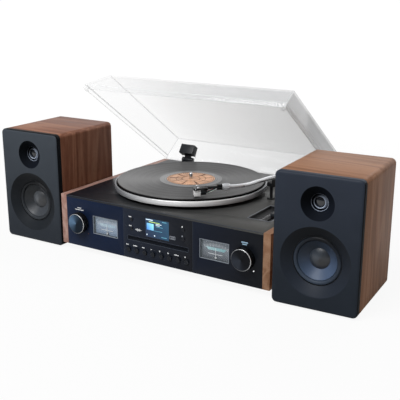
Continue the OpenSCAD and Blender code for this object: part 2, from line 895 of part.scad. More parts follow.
module cover_solid(inside) {
    intersection() {
        translate([-cover_w, 0, 0]) rotate([90, 0, 90])
            linear_extrude(2 * cover_w) cover_side_outline(inside);
        translate([0, cover_back + 1, 0]) rotate([90, 0, 0])
            linear_extrude(cover_back + 1) cover_front_outline(inside);
    }
}

module dust_cover() {
    bumper_r = 4;
    bumper_x = cover_w / 2 - cover_t - bumper_r + 0.5;
    bumper_y = cover_front + cover_t + bumper_r - 0.5;
    color([0.85, 0.88, 0.9, 0.35]) cover_opened() {
        difference() {
            cover_solid(false);
            cover_solid(true);
            for (sx = [-1, 1])
                y_block(hinge_w + 6, 40, 2 * notch_h, sx * hinge_x, cover_back - 20, cover_z);
        }
        for (sx = [-1, 1])
            translate([sx * bumper_x, bumper_y, deck_z + fit_gap])
                cylinder(r = bumper_r, h = cover_gap - fit_gap + 4);
    }
}

module cover_hinge_arms() {
    tongue_w = hinge_w - 2 * cheek_t - 0.6;
    reach = hinge_block_z - hinge_z + 4;
    tongue_lean = 30;
    color("dimgray") cover_opened() for (sx = [-1, 1]) {
        intersection() {
            cover_solid(true);
            translate([sx * hinge_x - block_x / 2, hinge_y - hinge_block_d - 6, hinge_block_z])
                cube([block_x, 2 * hinge_block_d, hinge_block_h]);
        }
        translate([sx * hinge_x, hinge_y, hinge_z]) {
            x_rod(knuckle_r, tongue_w);
            x_rod(pin_r, hinge_w - 0.4);
            rotate([tongue_lean, 0, 0]) translate([-tongue_w / 2, -3.5, 0])
                cube([tongue_w, 7, reach]);
        }
    }
}

module cover_hinge_bases() {
    color("dimgray") for (sx = [-1, 1]) translate([sx * hinge_x, hinge_y, 0]) difference() {
        union() {
            translate([-hinge_w / 2, -cheek_r, deck_z]) cube([hinge_w, 2 * cheek_r, sheet_t]);
            for (s = [-1, 1]) translate([s * (hinge_w - cheek_t) / 2, 0, 0]) {
                x_rod(cheek_r, cheek_t, 0, 0, hinge_z);
                translate([-cheek_t / 2, -cheek_r, deck_z]) cube([cheek_t, 2 * cheek_r, hinge_z - deck_z]);
            }
        }
        x_rod(pin_r + running, 2 * hinge_w, 0, 0, hinge_z);
    }
}

// ---------------------------------------------------------------- tonearm

// The arm's frame: origin on the vertical axis at the tube's height, X along the arm
module at_arm() {
    translate([pivot_x, pivot_y, arm_z]) rotate([0, 0, arm_heading]) children();
}

// The same frame on the floor
module at_arm_floor() {
    translate([pivot_x, pivot_y, 0]) rotate([0, 0, arm_heading]) children();
}

function ray(a, l) = l * [cos(a), sin(a)];
bend1_in = ray(heading0, tube_rear_l);
bend1_mid = bend1_in + ray(heading0 + 90, bend1_r);
bend1_out = bend1_mid + ray(heading1 - 90, bend1_r);
bend2_in = bend1_out + ray(heading1, tube_mid_l);
bend2_mid = bend2_in + ray(heading1 - 90, bend2_r);
bend2_out = bend2_mid + ray(heading2 + 90, bend2_r);

// A straight piece of the tube in the arm's plane, from point p along direction a.
// It laps over the bends at both of its ends.
module arm_rod(p, a, l) {
    translate([p[0], p[1], 0]) rotate([0, 0, a]) rotate([0, 90, 0])
        translate([0, 0, -bend_lap]) cylinder(r = tube_r, h = l + 2 * bend_lap);
}

// A bend of the tube about point p, from angle a through turn
module arm_bend(p, a, turn, bend_r) {
    translate([p[0], p[1], 0]) rotate([0, 0, a])
        rotate_extrude(angle = turn) translate([bend_r, 0]) circle(r = tube_r - bend_step);
}

// The frame along the last straight piece, s from the end of the second bend
module at_shell(s) {
    translate([bend2_out[0], bend2_out[1], 0]) rotate([0, 0, heading2]) translate([s, 0, 0]) children();
}

module tonearm_tube() {
    color("silver") at_arm() {
        translate([-block_w / 2, -block_w / 2, -block_h / 2]) cube([block_w, block_w, block_h]);
        rotate([0, 90, 0]) translate([0, 0, -stub_end]) cylinder(r = stub_r, h = stub_end);
        for (s = [-1, 1]) rotate([s * -90, 0, 0])
            cylinder(r = trunnion_r, h = yoke_in + yoke_t - 0.4);
        arm_rod([0, 0], heading0, tube_rear_l);
        arm_bend(bend1_mid, heading0 - 90, heading1 - heading0, bend1_r);
        arm_rod(bend1_out, heading1, tube_mid_l);
        arm_bend(bend2_mid, heading2 + 90, heading1 - heading2, bend2_r);
        arm_rod(bend2_out, heading2, collar_start);
        at_shell(collar_start) {
            rotate([0, 90, 0]) cylinder(r = collar_r, h = collar_l);
            translate([collar_l / 2, 0, -collar_r - 3]) cylinder(r = 1.2, h = collar_r);
        }
    }
}

module headshell() {
    start = collar_start + collar_l;
    color("black") at_arm() at_shell(start) {
        rotate([0, 90, 0]) cylinder(r = collar_r - 0.8, h = shell_ring_l);
        translate([shell_ring_l - e, -3, -2.5]) cube([shell_neck_l + 2 * e, 6, 5]);
        difference() {
            translate([shell_ring_l + shell_neck_l, -shell_w / 2, -3])
                cube([shell_l, shell_w, shell_t]);
            for (s = [-1, 1]) translate([shell_ring_l + shell_neck_l + 19, s * 6.35, -10])
                cylinder(r = 1.3, h = 20);
        }
    }
}

module cartridge() {
    start = collar_start + collar_l + shell_ring_l + shell_neck_l;
    under = record_top - arm_z;
    low = under + 1.4;
    color("whitesmoke") at_arm() at_shell(start) {
        translate([14, -6.5, low]) cube([12, 13, -3 - low]);
        translate([2, -7, -9]) cube([12 + e, 14, 6]);
        translate([3, -4, -13]) cube([11 + e, 8, 4 + e]);
        for (s = [-1, 1]) translate([19, s * 6.35, -3.5]) cylinder(r = 1.2, h = shell_t + 2);
        translate([21, 0, under + stylus_gap]) cylinder(r1 = 0.3, r2 = 1, h = 2);
    }
}

module counterweight() {
    color("dimgray") at_arm() rotate([0, -90, 0]) translate([0, 0, weight_start]) difference() {
        cylinder(r = weight_r, h = weight_l);
        translate([0, 0, -e]) cylinder(r = stub_r + running, h = weight_l + 2 * e);
    }
}

module arm_gimbal() {
    disc_z = deck_z + arm_base_h + arm_column_h - arm_socket_h + running - arm_z;
    stem_l = disc_z + arm_z - deck_z + arm_shaft_drop;
    color(metal) at_arm() difference() {
        union() {
            translate([0, 0, disc_z - stem_l]) cylinder(r = arm_shaft_r, h = stem_l + e);
            translate([0, 0, disc_z]) cylinder(r = yoke_in + yoke_t, h = gimbal_h);
            for (s = [-1, 1])
                translate([-yoke_l / 2, s * (yoke_in + yoke_t / 2) - yoke_t / 2, disc_z])
                    cube([yoke_l, yoke_t, yoke_l / 2 - disc_z]);
        }
        rotate([90, 0, 0]) cylinder(r = trunnion_r + running, h = 4 * yoke_in, center = true);
    }
}

module tonearm_base() {
    top = deck_z + arm_base_h + arm_column_h - arm_socket_h;
    saddle_z = arm_z - tube_r - rest_h - 0.5;
    color(dark) at_arm_floor() {
        difference() {
            union() {
                translate([0, 0, deck_z]) cylinder(r = arm_base_r, h = arm_base_h);
                translate([0, 0, deck_z]) cylinder(r = arm_column_r, h = top - deck_z);
                translate([0, 0, deck_z - arm_socket_drop])
                    cylinder(r = arm_socket_r, h = arm_socket_drop + e);
                translate([platform_r, 0, deck_z]) cylinder(r = platform_tube_r, h = top - deck_z + 3);
                for (s = [-1, 1])
                    translate([lever_u - lever_hub_r,
                        lever_v + s * (lever_w + lever_ear_t + 2 * lever_ear_gap) / 2 - lever_ear_t / 2,
                        deck_z])
                        cube([2 * lever_hub_r, lever_ear_t, lever_z - deck_z + lever_hub_r]);
            }
            translate([0, 0, deck_z - 2 * arm_socket_drop])
                cylinder(r = arm_shaft_r + running, h = 4 * arm_socket_drop);
            translate([platform_r, 0, deck_z + 1])
                cylinder(r = platform_rod_r + running, h = 2 * arm_column_h);
            translate([0, dial_v, deck_z + 1]) cylinder(r = dial_pin_r + running, h = 2 * arm_base_h);
            translate([lever_u, lever_v, lever_z]) rotate([90, 0, 0])
                cylinder(r = lever_pin_r + running, h = 4 * lever_w, center = true);
        }
        // Arm rest: a foot, a post, a saddle below the tube and a hook beyond it
        rotate([0, 0, rest_angle]) translate([rest_reach, rest_shift, 0]) {
            translate([0, 0, deck_z]) cylinder(r = rest_foot_r, h = 2);
            translate([0, 0, deck_z]) cylinder(r = rest_post_r, h = saddle_z - deck_z + e);
            translate([-rest_w / 2, -rest_h, saddle_z])
                cube([rest_w, rest_h + tube_r + rest_hook_gap + rest_hook_t, rest_h]);
            translate([-rest_w / 2, tube_r + rest_hook_gap, saddle_z])
                cube([rest_w, rest_hook_t, 2 * rest_h + 1]);
        }
    }
}

module cue_platform() {
    top = arm_z - platform_drop;
    color("black") at_arm_floor() {
        translate([0, 0, top - platform_h]) rotate([0, 0, -platform_sweep / 2 - 2])
            rotate_extrude(angle = platform_sweep)
            translate([platform_r - platform_w / 2, 0]) square([platform_w, platform_h]);
        translate([platform_r, 0, deck_z + 4]) cylinder(r = platform_rod_r, h = top - deck_z - 5);
    }
}

module cue_lever() {
    color(metal) at_arm_floor() translate([lever_u, lever_v, lever_z]) {
        rotate([90, 0, 0]) cylinder(r = lever_hub_r, h = lever_w, center = true);
        rotate([90, 0, 0])
            cylinder(r = lever_pin_r, h = lever_w + 2 * (lever_ear_t + lever_ear_gap), center = true);
        translate([0, -lever_w / 2, -1.5]) cube([lever_l, lever_w, 3]);
    }
}

module anti_skate_dial() {
    color("black") at_arm_floor() translate([0, dial_v, 0]) {
        translate([0, 0, deck_z + arm_base_h + fit_gap]) cylinder(r = dial_r, h = dial_h);
        translate([0, 0, deck_z + 1.5]) cylinder(r = dial_pin_r, h = arm_base_h);
    }
}

// ---------------------------------------------------------------- speakers

// The frame of a speaker: origin on the floor at the middle of the cabinet's front
module at_speaker(side) {
    if (side < 0)
        translate([-left_speaker_x, left_speaker_y, 0]) rotate([0, 0, left_speaker_turn]) children();
    else
        translate([right_speaker_x, right_speaker_y, 0]) rotate([0, 0, right_speaker_turn]) children();
}

// The frame of a driver: origin on the baffle's front at height z, Z into the speaker
module at_driver(side, z) {
    at_speaker(side) translate([0, -baffle_t, z]) rotate([-90, 0, 0]) children();
}

// A slab of the speaker's outline, drawn in by inset, from y backwards
module speaker_slab(y, l, inset) {
    translate([0, y, pad_h + speaker_h / 2]) rotate([-90, 0, 0]) linear_extrude(l)
        rounded_rect(speaker_w - 2 * inset, speaker_h - 2 * inset, corner_r - inset * 0.8);
}

module speaker_cabinet(side) {
    color(wood) at_speaker(side) difference() {
        speaker_slab(0, speaker_d, 0);
        y_block(speaker_w - 2 * cabinet_t, cavity_d + e, speaker_h - 2 * cabinet_t,
            0, -e, pad_h + speaker_h / 2);
        y_block(terminal_size - 10, 4 * cabinet_t, terminal_size - 10,
            terminal_x, speaker_d - 2 * cabinet_t, terminal_z);
    }
}

module speaker_cabinet_left() {
    speaker_cabinet(-1);
}

module speaker_cabinet_right() {
    speaker_cabinet(1);
}

module speaker_baffle(side) {
    color([0.17, 0.19, 0.22]) difference() {
        at_speaker(side) hull() {
            speaker_slab(baffle_edge_r - baffle_t, baffle_t - baffle_edge_r, 0);
            for (a = [15:15:90])
                speaker_slab(baffle_edge_r * (1 - sin(a)) - baffle_t, 0.01,
                    baffle_edge_r * (1 - cos(a)), $fn = 32);
        }
        at_driver(side, woofer_z) {
            translate([0, 0, -e]) cylinder(r1 = woofer_dish_r, r2 = woofer_r, h = dish_d);
            cylinder(r = woofer_r, h = 2 * baffle_t);
        }
        at_driver(side, tweeter_z) {
            translate([0, 0, -e]) cylinder(r1 = tweeter_dish_r, r2 = dome_r + 2.5, h = dish_d);
            cylinder(r = dome_r + 2.5, h = 2 * baffle_t);
        }
    }
}

module speaker_baffle_left() {
    speaker_baffle(-1);
}

module speaker_baffle_right() {
    speaker_baffle(1);
}

module woofer_frames() {
    back = magnet_front;
    color("dimgray") for (side = [-1, 1]) at_driver(side, woofer_z) {
        difference() {
            union() {
                rotate_extrude() polygon([[woofer_r + 0.2, baffle_t], [woofer_r + 17, baffle_t],
                    [woofer_r + 17, baffle_t + frame_t], [woofer_r + 9, baffle_t + frame_t],
                    [magnet_r - 6, back], [magnet_r - 8, back], [woofer_r + 6.6, baffle_t + frame_t],
                    [woofer_r - 2.5, baffle_t + frame_t], [woofer_r - 2.5, cone_edge_d + 0.8],
                    [woofer_r + 0.2, cone_edge_d + 0.8]]);
                translate([0, 0, back]) cylinder(r = magnet_r, h = magnet_d);
            }
            translate([0, 0, back - e]) cylinder(r = former_r + 1.5, h = magnet_d - 4);
            for (i = [0:5]) rotate([0, 0, 60 * i]) translate([0, 0, baffle_t + 20])
                rotate([90, 0, 0]) cylinder(r = 10, h = 2 * woofer_r);
        }
    }
}

module woofer_surrounds() {
    mid = woofer_r - 0.5 - 0.7 - roll_r;
    color("black") for (side = [-1, 1]) at_driver(side, woofer_z) rotate_extrude() {
        translate([0, cone_edge_d - 0.4]) {
            translate([mid + roll_r - roll_t, 0]) square([woofer_r - 0.1 - mid - roll_r + roll_t, 1.2]);
            translate([cone_edge_r + fit_gap, 0]) square([mid - roll_r + roll_t - cone_edge_r - fit_gap, 1.2]);
        }
        difference() {
            translate([mid, cone_edge_d]) circle(r = roll_r);
            translate([mid, cone_edge_d]) circle(r = roll_r - roll_t);
            translate([0, cone_edge_d]) square([2 * woofer_r, 2 * roll_r]);
        }
    }
}

module woofer_cone(side) {
    slope = cone_depth / (cone_edge_r - cone_throat_r);
    throat_d = cone_edge_d + cone_depth;
    cap_d = cone_edge_d + (cone_edge_r - cap_r) * slope;
    cap_ball = (cap_r * cap_r + cap_h * cap_h) / (2 * cap_h);
    color([0.25, 0.28, 0.32]) at_driver(side, woofer_z) rotate_extrude() {
        polygon([[cone_edge_r, cone_edge_d - cone_t / 2], [cone_edge_r, cone_edge_d + cone_t / 2],
            [cone_throat_r, throat_d + cone_t / 2], [cone_throat_r, throat_d - cone_t / 2],
            [cone_edge_r - cone_t, cone_edge_d - cone_t / 2]]);
        translate([cone_throat_r, throat_d - cone_t / 2])
            square([0.9 * cone_t, magnet_front + cone_travel + cone_t - throat_d]);
        intersection() {
            difference() {
                translate([0, cap_d - cap_h + cap_ball]) circle(r = cap_ball, $fn = 180);
                translate([0, cap_d - cap_h + cap_ball]) circle(r = cap_ball - 0.8 * cone_t, $fn = 180);
            }
            translate([0, cap_d - cap_h - cone_t]) square([cap_r, cap_h + 1.2 * cone_t]);
        }
    }
}

module woofer_cone_left() {
    woofer_cone(-1);
}

module woofer_cone_right() {
    woofer_cone(1);
}

module tweeters() {
    horn_d = 5;
    dome_h = 4.5;
    dome_ball = (dome_r * dome_r + dome_h * dome_h) / (2 * dome_h);
    color("black") for (side = [-1, 1]) at_driver(side, tweeter_z) translate([0, 0, baffle_t]) {
        difference() {
            union() {
                cylinder(r = tweeter_dish_r + 2, h = horn_d);
                translate([0, 0, horn_d - e]) cylinder(r = tweeter_body_r, h = 20);
            }
            translate([0, 0, -e]) cylinder(r1 = dome_r + 2.5, r2 = dome_r + 0.5, h = horn_d);
        }
        intersection() {
            translate([0, 0, horn_d - dome_h + dome_ball]) sphere(r = dome_ball, $fn = 180);
            translate([0, 0, horn_d - dome_h - 1]) cylinder(r = dome_r, h = dome_h + 1.5);
        }
    }
}

// ---------------------------------------------------------------- nodes

base_pan();
top_deck();
side_panel_left();
side_panel_right();
front_panel();
centre_fascia();
rear_panel();
rubber_feet();
case_screws();
platter_motor();
slider_well();
cover_hinge_bases();
tonearm_base();
meter_housings();
meter_windows();
display_module();
disc_drive();
control_boards();
circuit_boards();
rear_sockets();
platter();
platter_mat();
record();
spindle();
dust_cover();
cover_hinge_arms();
arm_gimbal();
tonearm_tube();
headshell();
cartridge();
counterweight();
cue_lever();
cue_platform();
anti_skate_dial();
pitch_slider();
volume_knob();
tuning_knob();
meter_needle_left();
meter_needle_right();
row_button(0);  // button_1
row_button(1);  // button_2
row_button(2);  // button_3
row_button(3);  // button_4
row_button(4);  // button_5
row_button(5);  // button_6
row_button(6);  // button_7
row_button(7);  // button_8
small_button(0);  // small_button_left_low
small_button(1);  // small_button_left_high
small_button(2);  // small_button_right_low
small_button(3);  // small_button_right_high
speaker_cabinet_left();
speaker_cabinet_right();
speaker_baffle_left();
speaker_baffle_right();
woofer_frames();
woofer_surrounds();
woofer_cone_left();
woofer_cone_right();
tweeters();
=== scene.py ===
"""Dresses the stereo music centre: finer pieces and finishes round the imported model.

Lengths in this file are in millimetres, in the part's own frame, and become metres
where a mesh is finished.
"""
import json
import logging
import math
from dataclasses import dataclass
from enum import Enum
from typing import Any, Callable, Protocol, Sequence

import bmesh
import bpy
from mathutils import Matrix, Vector

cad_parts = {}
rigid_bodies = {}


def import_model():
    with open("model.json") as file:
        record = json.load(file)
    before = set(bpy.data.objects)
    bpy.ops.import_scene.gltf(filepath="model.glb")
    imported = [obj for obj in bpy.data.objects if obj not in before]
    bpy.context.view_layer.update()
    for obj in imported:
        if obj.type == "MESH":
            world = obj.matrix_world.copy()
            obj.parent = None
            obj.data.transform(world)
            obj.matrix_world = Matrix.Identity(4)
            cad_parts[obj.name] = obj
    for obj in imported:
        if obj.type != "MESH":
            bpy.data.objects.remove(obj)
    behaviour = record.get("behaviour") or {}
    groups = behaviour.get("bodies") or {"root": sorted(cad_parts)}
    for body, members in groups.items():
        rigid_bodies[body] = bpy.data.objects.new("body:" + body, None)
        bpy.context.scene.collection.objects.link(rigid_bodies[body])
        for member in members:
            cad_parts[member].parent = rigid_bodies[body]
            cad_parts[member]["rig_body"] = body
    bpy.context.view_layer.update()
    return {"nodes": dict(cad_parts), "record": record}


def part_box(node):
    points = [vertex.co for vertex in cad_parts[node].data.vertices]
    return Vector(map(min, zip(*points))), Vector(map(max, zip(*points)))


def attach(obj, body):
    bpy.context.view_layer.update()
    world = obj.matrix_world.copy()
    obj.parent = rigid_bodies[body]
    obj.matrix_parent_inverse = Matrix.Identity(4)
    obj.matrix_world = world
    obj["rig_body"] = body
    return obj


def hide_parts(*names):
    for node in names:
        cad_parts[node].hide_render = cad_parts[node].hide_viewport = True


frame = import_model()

MM = 0.001
QUARTER = 0.25  # of a turn: a sheen that crosses the turning lines
SHARP = 34.0  # degrees, above which an edge stays sharp
EASE_STEPS = 6  # of a rounded corner in a profile
LINE_STEPS = 5  # of each stretch of a smooth line
Socket = bpy.types.NodeSocket
Mesh = bpy.types.Mesh
Colour = tuple[float, float, float]
Pair = tuple[float, float]
Triple = tuple[float, float, float]
LOG = logging.getLogger("music_centre")


def tone(code: str) -> Colour:
    """Turns a six digit display colour into the linear colour that shaders use.

    Args:
        code: Six hexadecimal digits, red first.

    Returns:
        The linear red, green and blue.
    """
    parts = [int(code[i:i + 2], 16) / 255 for i in (0, 2, 4)]
    red, green, blue = (p / 12.92 if p <= 0.04045 else ((p + 0.055) / 1.055) ** 2.4 for p in parts)
    return red, green, blue


def turned(degrees: float, axis: str) -> Matrix:
    """Returns a rotation of some degrees about X, Y or Z."""
    return Matrix.Rotation(math.radians(degrees), 4, axis)


def shifted(x: float, y: float, z: float) -> Matrix:
    """Returns a translation."""
    return Matrix.Translation((x, y, z))


def linked(name: str, data: bpy.types.ID) -> bpy.types.Object:
    """Sets a new object in the scene.

    Args:
        name: Its name.
        data: Its mesh, lamp, camera or text.

    Returns:
        The object.
    """
    made = bpy.data.objects.new(name, data)
    bpy.context.scene.collection.objects.link(made)
    return made


def baked(holder: bpy.types.Object) -> Mesh:
    """Keeps what a helper object shows as a plain mesh, and removes the object.

    Args:
        holder: The helper object.

    Returns:
        The mesh.
    """
    made = bpy.data.meshes.new_from_object(holder.evaluated_get(bpy.context.evaluated_depsgraph_get()))
    bpy.data.objects.remove(holder)
    return made


def seeded(name: str, spots: Sequence[Sequence[float]], in_line: bool = True) -> Mesh:
    """Makes a mesh of points for a recipe to start from.

    Args:
        name: Its name.
        spots: The points.
        in_line: Whether each is joined to the next.

    Returns:
        The mesh.
    """
    seed = bpy.data.meshes.new(name)
    edges = [(i, i + 1) for i in range(len(spots) - 1)] if in_line else []
    seed.from_pydata([tuple(p) for p in spots], edges, [])
    return seed


FACING_FRONT = turned(90, "X")
FACING_BACK = turned(-90, "X")
ALONG_X = turned(90, "Y")


# Finishes


class Nodes:
    """A node tree in the making."""

    family = ""

    def __init__(self, tree: bpy.types.NodeTree) -> None:
        """Takes the tree that nodes are added to."""
        self.tree = tree

    def node(self, kind: str, settings: dict[str, Any] | None = None, **inputs: Any) -> bpy.types.Node:
        """Adds a node.

        Args:
            kind: The node's type, without the start that the family shares.
            settings: Properties of the node itself.
            **inputs: Values or sockets for its inputs, with _ for a space in a name.

        Returns:
            The new node.
        """
        made = self.tree.nodes.new(self.family + kind)
        for key, value in (settings or {}).items():
            setattr(made, key, value)
        for key, value in inputs.items():
            name = key.replace("_", " ")
            self.feed(made.inputs[int(name[1:])] if name[1:].isdigit() else made.inputs[name], value)
        return made

    def feed(self, socket: Socket, value: Any) -> None:
        """Links a socket to an input, or sets the input's own value.

        Args:
            socket: The input.
            value: A socket to link from, or a plain value.
        """
        if isinstance(value, Socket):
            self.tree.links.new(value, socket)
        elif isinstance(value, tuple) and len(value) == 3 and socket.type == "RGBA":
            socket.default_value = (*value, 1.0)
        else:
            socket.default_value = value


class ShaderTree(Nodes):
    """A shader tree in the making."""

    family = "ShaderNode"

    def maths(self, how: str, first: Any, second: Any = 0.0) -> Socket:
        """Calculates with one or two sockets or numbers, and gives a value socket."""
        return self.node("Math", {"operation": how}, _0=first, _1=second).outputs[0]

    def window(self, factor: Socket, low: float, high: float,
               to_low: float = 0.0, to_high: float = 1.0) -> Socket:
        """Maps a value's range, from low to high, onto another one, and stops at its ends."""
        made = self.node("MapRange", Value=factor, From_Min=low, From_Max=high, To_Min=to_low, To_Max=to_high)
        return made.outputs["Result"]


class Shading(ShaderTree):
    """A material's node tree in the making."""

    def __init__(self, name: str) -> None:
        """Starts a material with an empty Principled shader.

        Args:
            name: The material's name.
        """
        self.material = bpy.data.materials.new(name)
        self.material.use_nodes = True
        super().__init__(self.material.node_tree)
        self.skin = self.tree.nodes["Principled BSDF"]

    def set(self, **inputs: Any) -> None:
        """Sets or links inputs of the Principled shader, with _ for a space in a name."""
        for key, value in inputs.items():
            self.feed(self.skin.inputs[key.replace("_", " ")], value)

    def place(self, stretch: Triple = (1, 1, 1), shift: Triple = (0, 0, 0)) -> Socket:
        """Gives the piece's own coordinates in metres, stretched and shifted."""
        spot = self.node("TexCoord").outputs["Object"]
        return self.node("Mapping", Vector=spot, Scale=stretch, Location=shift).outputs["Vector"]

    def noise(self, vector: Socket, scale: float, detail: float = 2.0,
              distortion: float = 0.0) -> Socket:
        """Adds noise from 0 to 1 with a frequency per metre, octaves and a stir."""
        made = self.node("TexNoise", Vector=vector, Scale=scale, Detail=detail, Distortion=distortion)
        return made.outputs["Fac"]

    def ramp(self, factor: Socket, stops: Sequence[tuple[float, Colour]]) -> Socket:
        """Maps a value to colours.

        Args:
            factor: The value.
            stops: Each a position and its colour.

        Returns:
            A colour socket.
        """
        made = self.node("ValToRGB", Fac=factor)
        elements = made.color_ramp.elements
        while len(elements) < len(stops):
            elements.new(0.5)
        for element, (position, colour) in zip(elements, stops):
            element.position = position
            element.color = (*colour, 1.0)
        return made.outputs["Color"]

    def mix(self, factor: Any, first: Any, second: Any, how: str = "MIX") -> Socket:
        """Mixes two colours.

        Args:
            factor: How much of the second one.
            first: A colour or socket.
            second: A colour or socket.
            how: The blend type.

        Returns:
            A colour socket.
        """
        made = self.node("Mix", {"data_type": "RGBA", "blend_type": how})
        self.feed(made.inputs[0], factor)
        self.feed(made.inputs[6], first)
        self.feed(made.inputs[7], second)
        return made.outputs[2]

    def edges(self) -> Socket:
        """Finds a piece's edges, where the skin turns within half a millimetre.

        Returns:
            A value socket, 1 on an edge and 0 away from it.
        """
        turned_skin = self.node("Bevel", {"samples": 4}, Radius=0.5 * MM).outputs["Normal"]
        flat_skin = self.node("NewGeometry").outputs["Normal"]
        match = self.node("VectorMath", {"operation": "DOT_PRODUCT"}, _0=turned_skin, _1=flat_skin)
        return self.window(match.outputs["Value"], 0.99, 0.85)

    def along(self, start: Triple, end: Triple) -> Socket:
        """Measures how far a spot lies on the way from one point to another.

        Args:
            start: Where the way starts, in millimetres.
            end: Where it ends.

        Returns:
            A value socket, 0 at the start and 1 at the end.
        """
        way = Vector(end) - Vector(start)
        place = self.node("TexCoord").outputs["Object"]
        away = self.node("VectorMath", {"operation": "SUBTRACT"}, _0=place, _1=tuple(c * MM for c in start))
        run = self.node("VectorMath", {"operation": "DOT_PRODUCT"}, _0=away.outputs["Vector"],
                        _1=tuple(way / way.length_squared / MM))
        return self.window(run.outputs["Value"], 0.0, 1.0)

    def round_from(self, side: float) -> Socket:
        """Gives 1 at one side of a turned piece, a share of the way round, and 0 at the opposite one."""
        way = self.maths("SUBTRACT", self.node("SeparateXYZ", Vector=self.flat()).outputs["X"], side)
        return self.window(self.maths("COSINE", self.maths("MULTIPLY", way, 2 * math.pi)), -1.0, 1.0)

    def relief(self, height: Socket, strength: float, depth: float) -> None:
        """Bumps the skin with a pattern, by a strength from 0 to 1 and a depth in millimetres."""
        bump = self.node("Bump", Height=height, Strength=strength, Distance=depth * MM)
        self.set(Normal=bump.outputs["Normal"])

    def flat(self) -> Socket:
        """Gives the piece's UV map."""
        return self.node("UVMap", {"uv_map": "UVMap"}).outputs["UV"]

    def outwards(self) -> Socket:
        """Gives only the V of the UV map, which runs along a turned piece's profile."""
        return self.node("Mapping", Vector=self.flat(), Scale=(0.0, 1.0, 0.0)).outputs["Vector"]

    def tangent(self) -> None:
        """Lets the sheen follow the way that the piece was turned."""
        made = self.node("Tangent", {"direction_type": "UV_MAP", "uv_map": "UVMap"})
        self.set(Tangent=made.outputs["Tangent"])


class Finish(Protocol):
    """What every finish can do."""

    name: str

    def material(self) -> bpy.types.Material:
        """Builds the finish's material."""


@dataclass(frozen=True)
class Moulded:
    """Plastic, rubber, paint or plain metal with a fine grain, and edges lightened partly as wear and partly as a
    painted highlight.
    """

    name: str
    colour: str
    roughness: float = 0.45
    metallic: float = 0.0
    specular: float = 0.5
    grain: float = 1400.0
    relief: float = 0.02
    mottle: float = 0.12
    wear: float = 0.12
    far: str | None = None
    span: tuple[Triple, Triple] = ((0, 0, 0), (0, 0, 100))
    side: float | None = None

    def material(self) -> bpy.types.Material:
        """Builds the finish's material."""
        s = Shading(self.name)
        spot = s.place()
        fine = s.noise(spot, self.grain, 3)
        broad = s.noise(spot, 22, 3, 0.4)
        near = tone(self.colour)
        colour: Any = near
        # A far colour paints light and shade: the piece lightens or darkens towards one end or one side.
        if self.far:
            share = s.along(*self.span) if self.side is None else s.round_from(self.side)
            colour = s.mix(share, near, tone(self.far))
        shade = s.window(broad, 0.3, 0.7, 1 - self.mottle, 1 + self.mottle)
        body = s.mix(1.0, colour, s.node("CombineColor", _0=shade, _1=shade, _2=shade).outputs[0], "MULTIPLY")
        # The bevel mask lightens the edges: partly wear, partly a painted highlight.
        if self.wear:
            pale = tuple(min(1.0, c * 1.6 + 0.22) for c in near)
            body = s.mix(s.maths("MULTIPLY", s.edges(), s.maths("MULTIPLY", shade, self.wear)), body, pale)
        s.set(Base_Color=body, Metallic=self.metallic, Specular_IOR_Level=self.specular)
        s.set(Roughness=s.window(s.noise(spot, 60, 4), 0.2, 0.8, self.roughness - 0.06, self.roughness + 0.06))
        s.relief(fine, 0.25, self.relief)
        return s.material


@dataclass(frozen=True)
class Spun:
    """Metal turned on a lathe, with a sheen that fans out from its middle and, where a far colour is set, a painted
    highlight on one side.
    """

    name: str
    colour: str
    roughness: float = 0.25
    metallic: float = 1.0
    stretch: float = 0.75
    rings: float = 90.0
    far: str | None = None
    side: float = 0.0
    focus: float = 3.0

    def material(self) -> bpy.types.Material:
        """Builds the finish's material."""
        s = Shading(self.name)
        ring = s.noise(s.outwards(), self.rings, 5)
        dark = tuple(c * 0.82 for c in tone(self.colour))
        light = tuple(min(1.0, c * 1.12) for c in tone(self.colour))
        body = s.mix(s.window(ring, 0.3, 0.7), dark, light)
        # A far colour paints a highlight, focused on one side of the piece.
        if self.far:
            body = s.mix(s.maths("POWER", s.round_from(self.side), self.focus), body, tone(self.far))
        s.set(Base_Color=body, Metallic=self.metallic, Anisotropic=self.stretch, Anisotropic_Rotation=QUARTER)
        s.set(Roughness=s.window(ring, 0.25, 0.75, self.roughness * 0.8, self.roughness * 1.25))
        s.tangent()
        s.relief(ring, 0.15, 0.01)
        return s.material


class Side(Enum):
    """Which speaker."""

    LEFT = "left"
    RIGHT = "right"


class Grain(Enum):
    """Which way the wood's grain runs."""

    DEEP = "from front to back"
    WRAPPED = "up the sides and across the top"


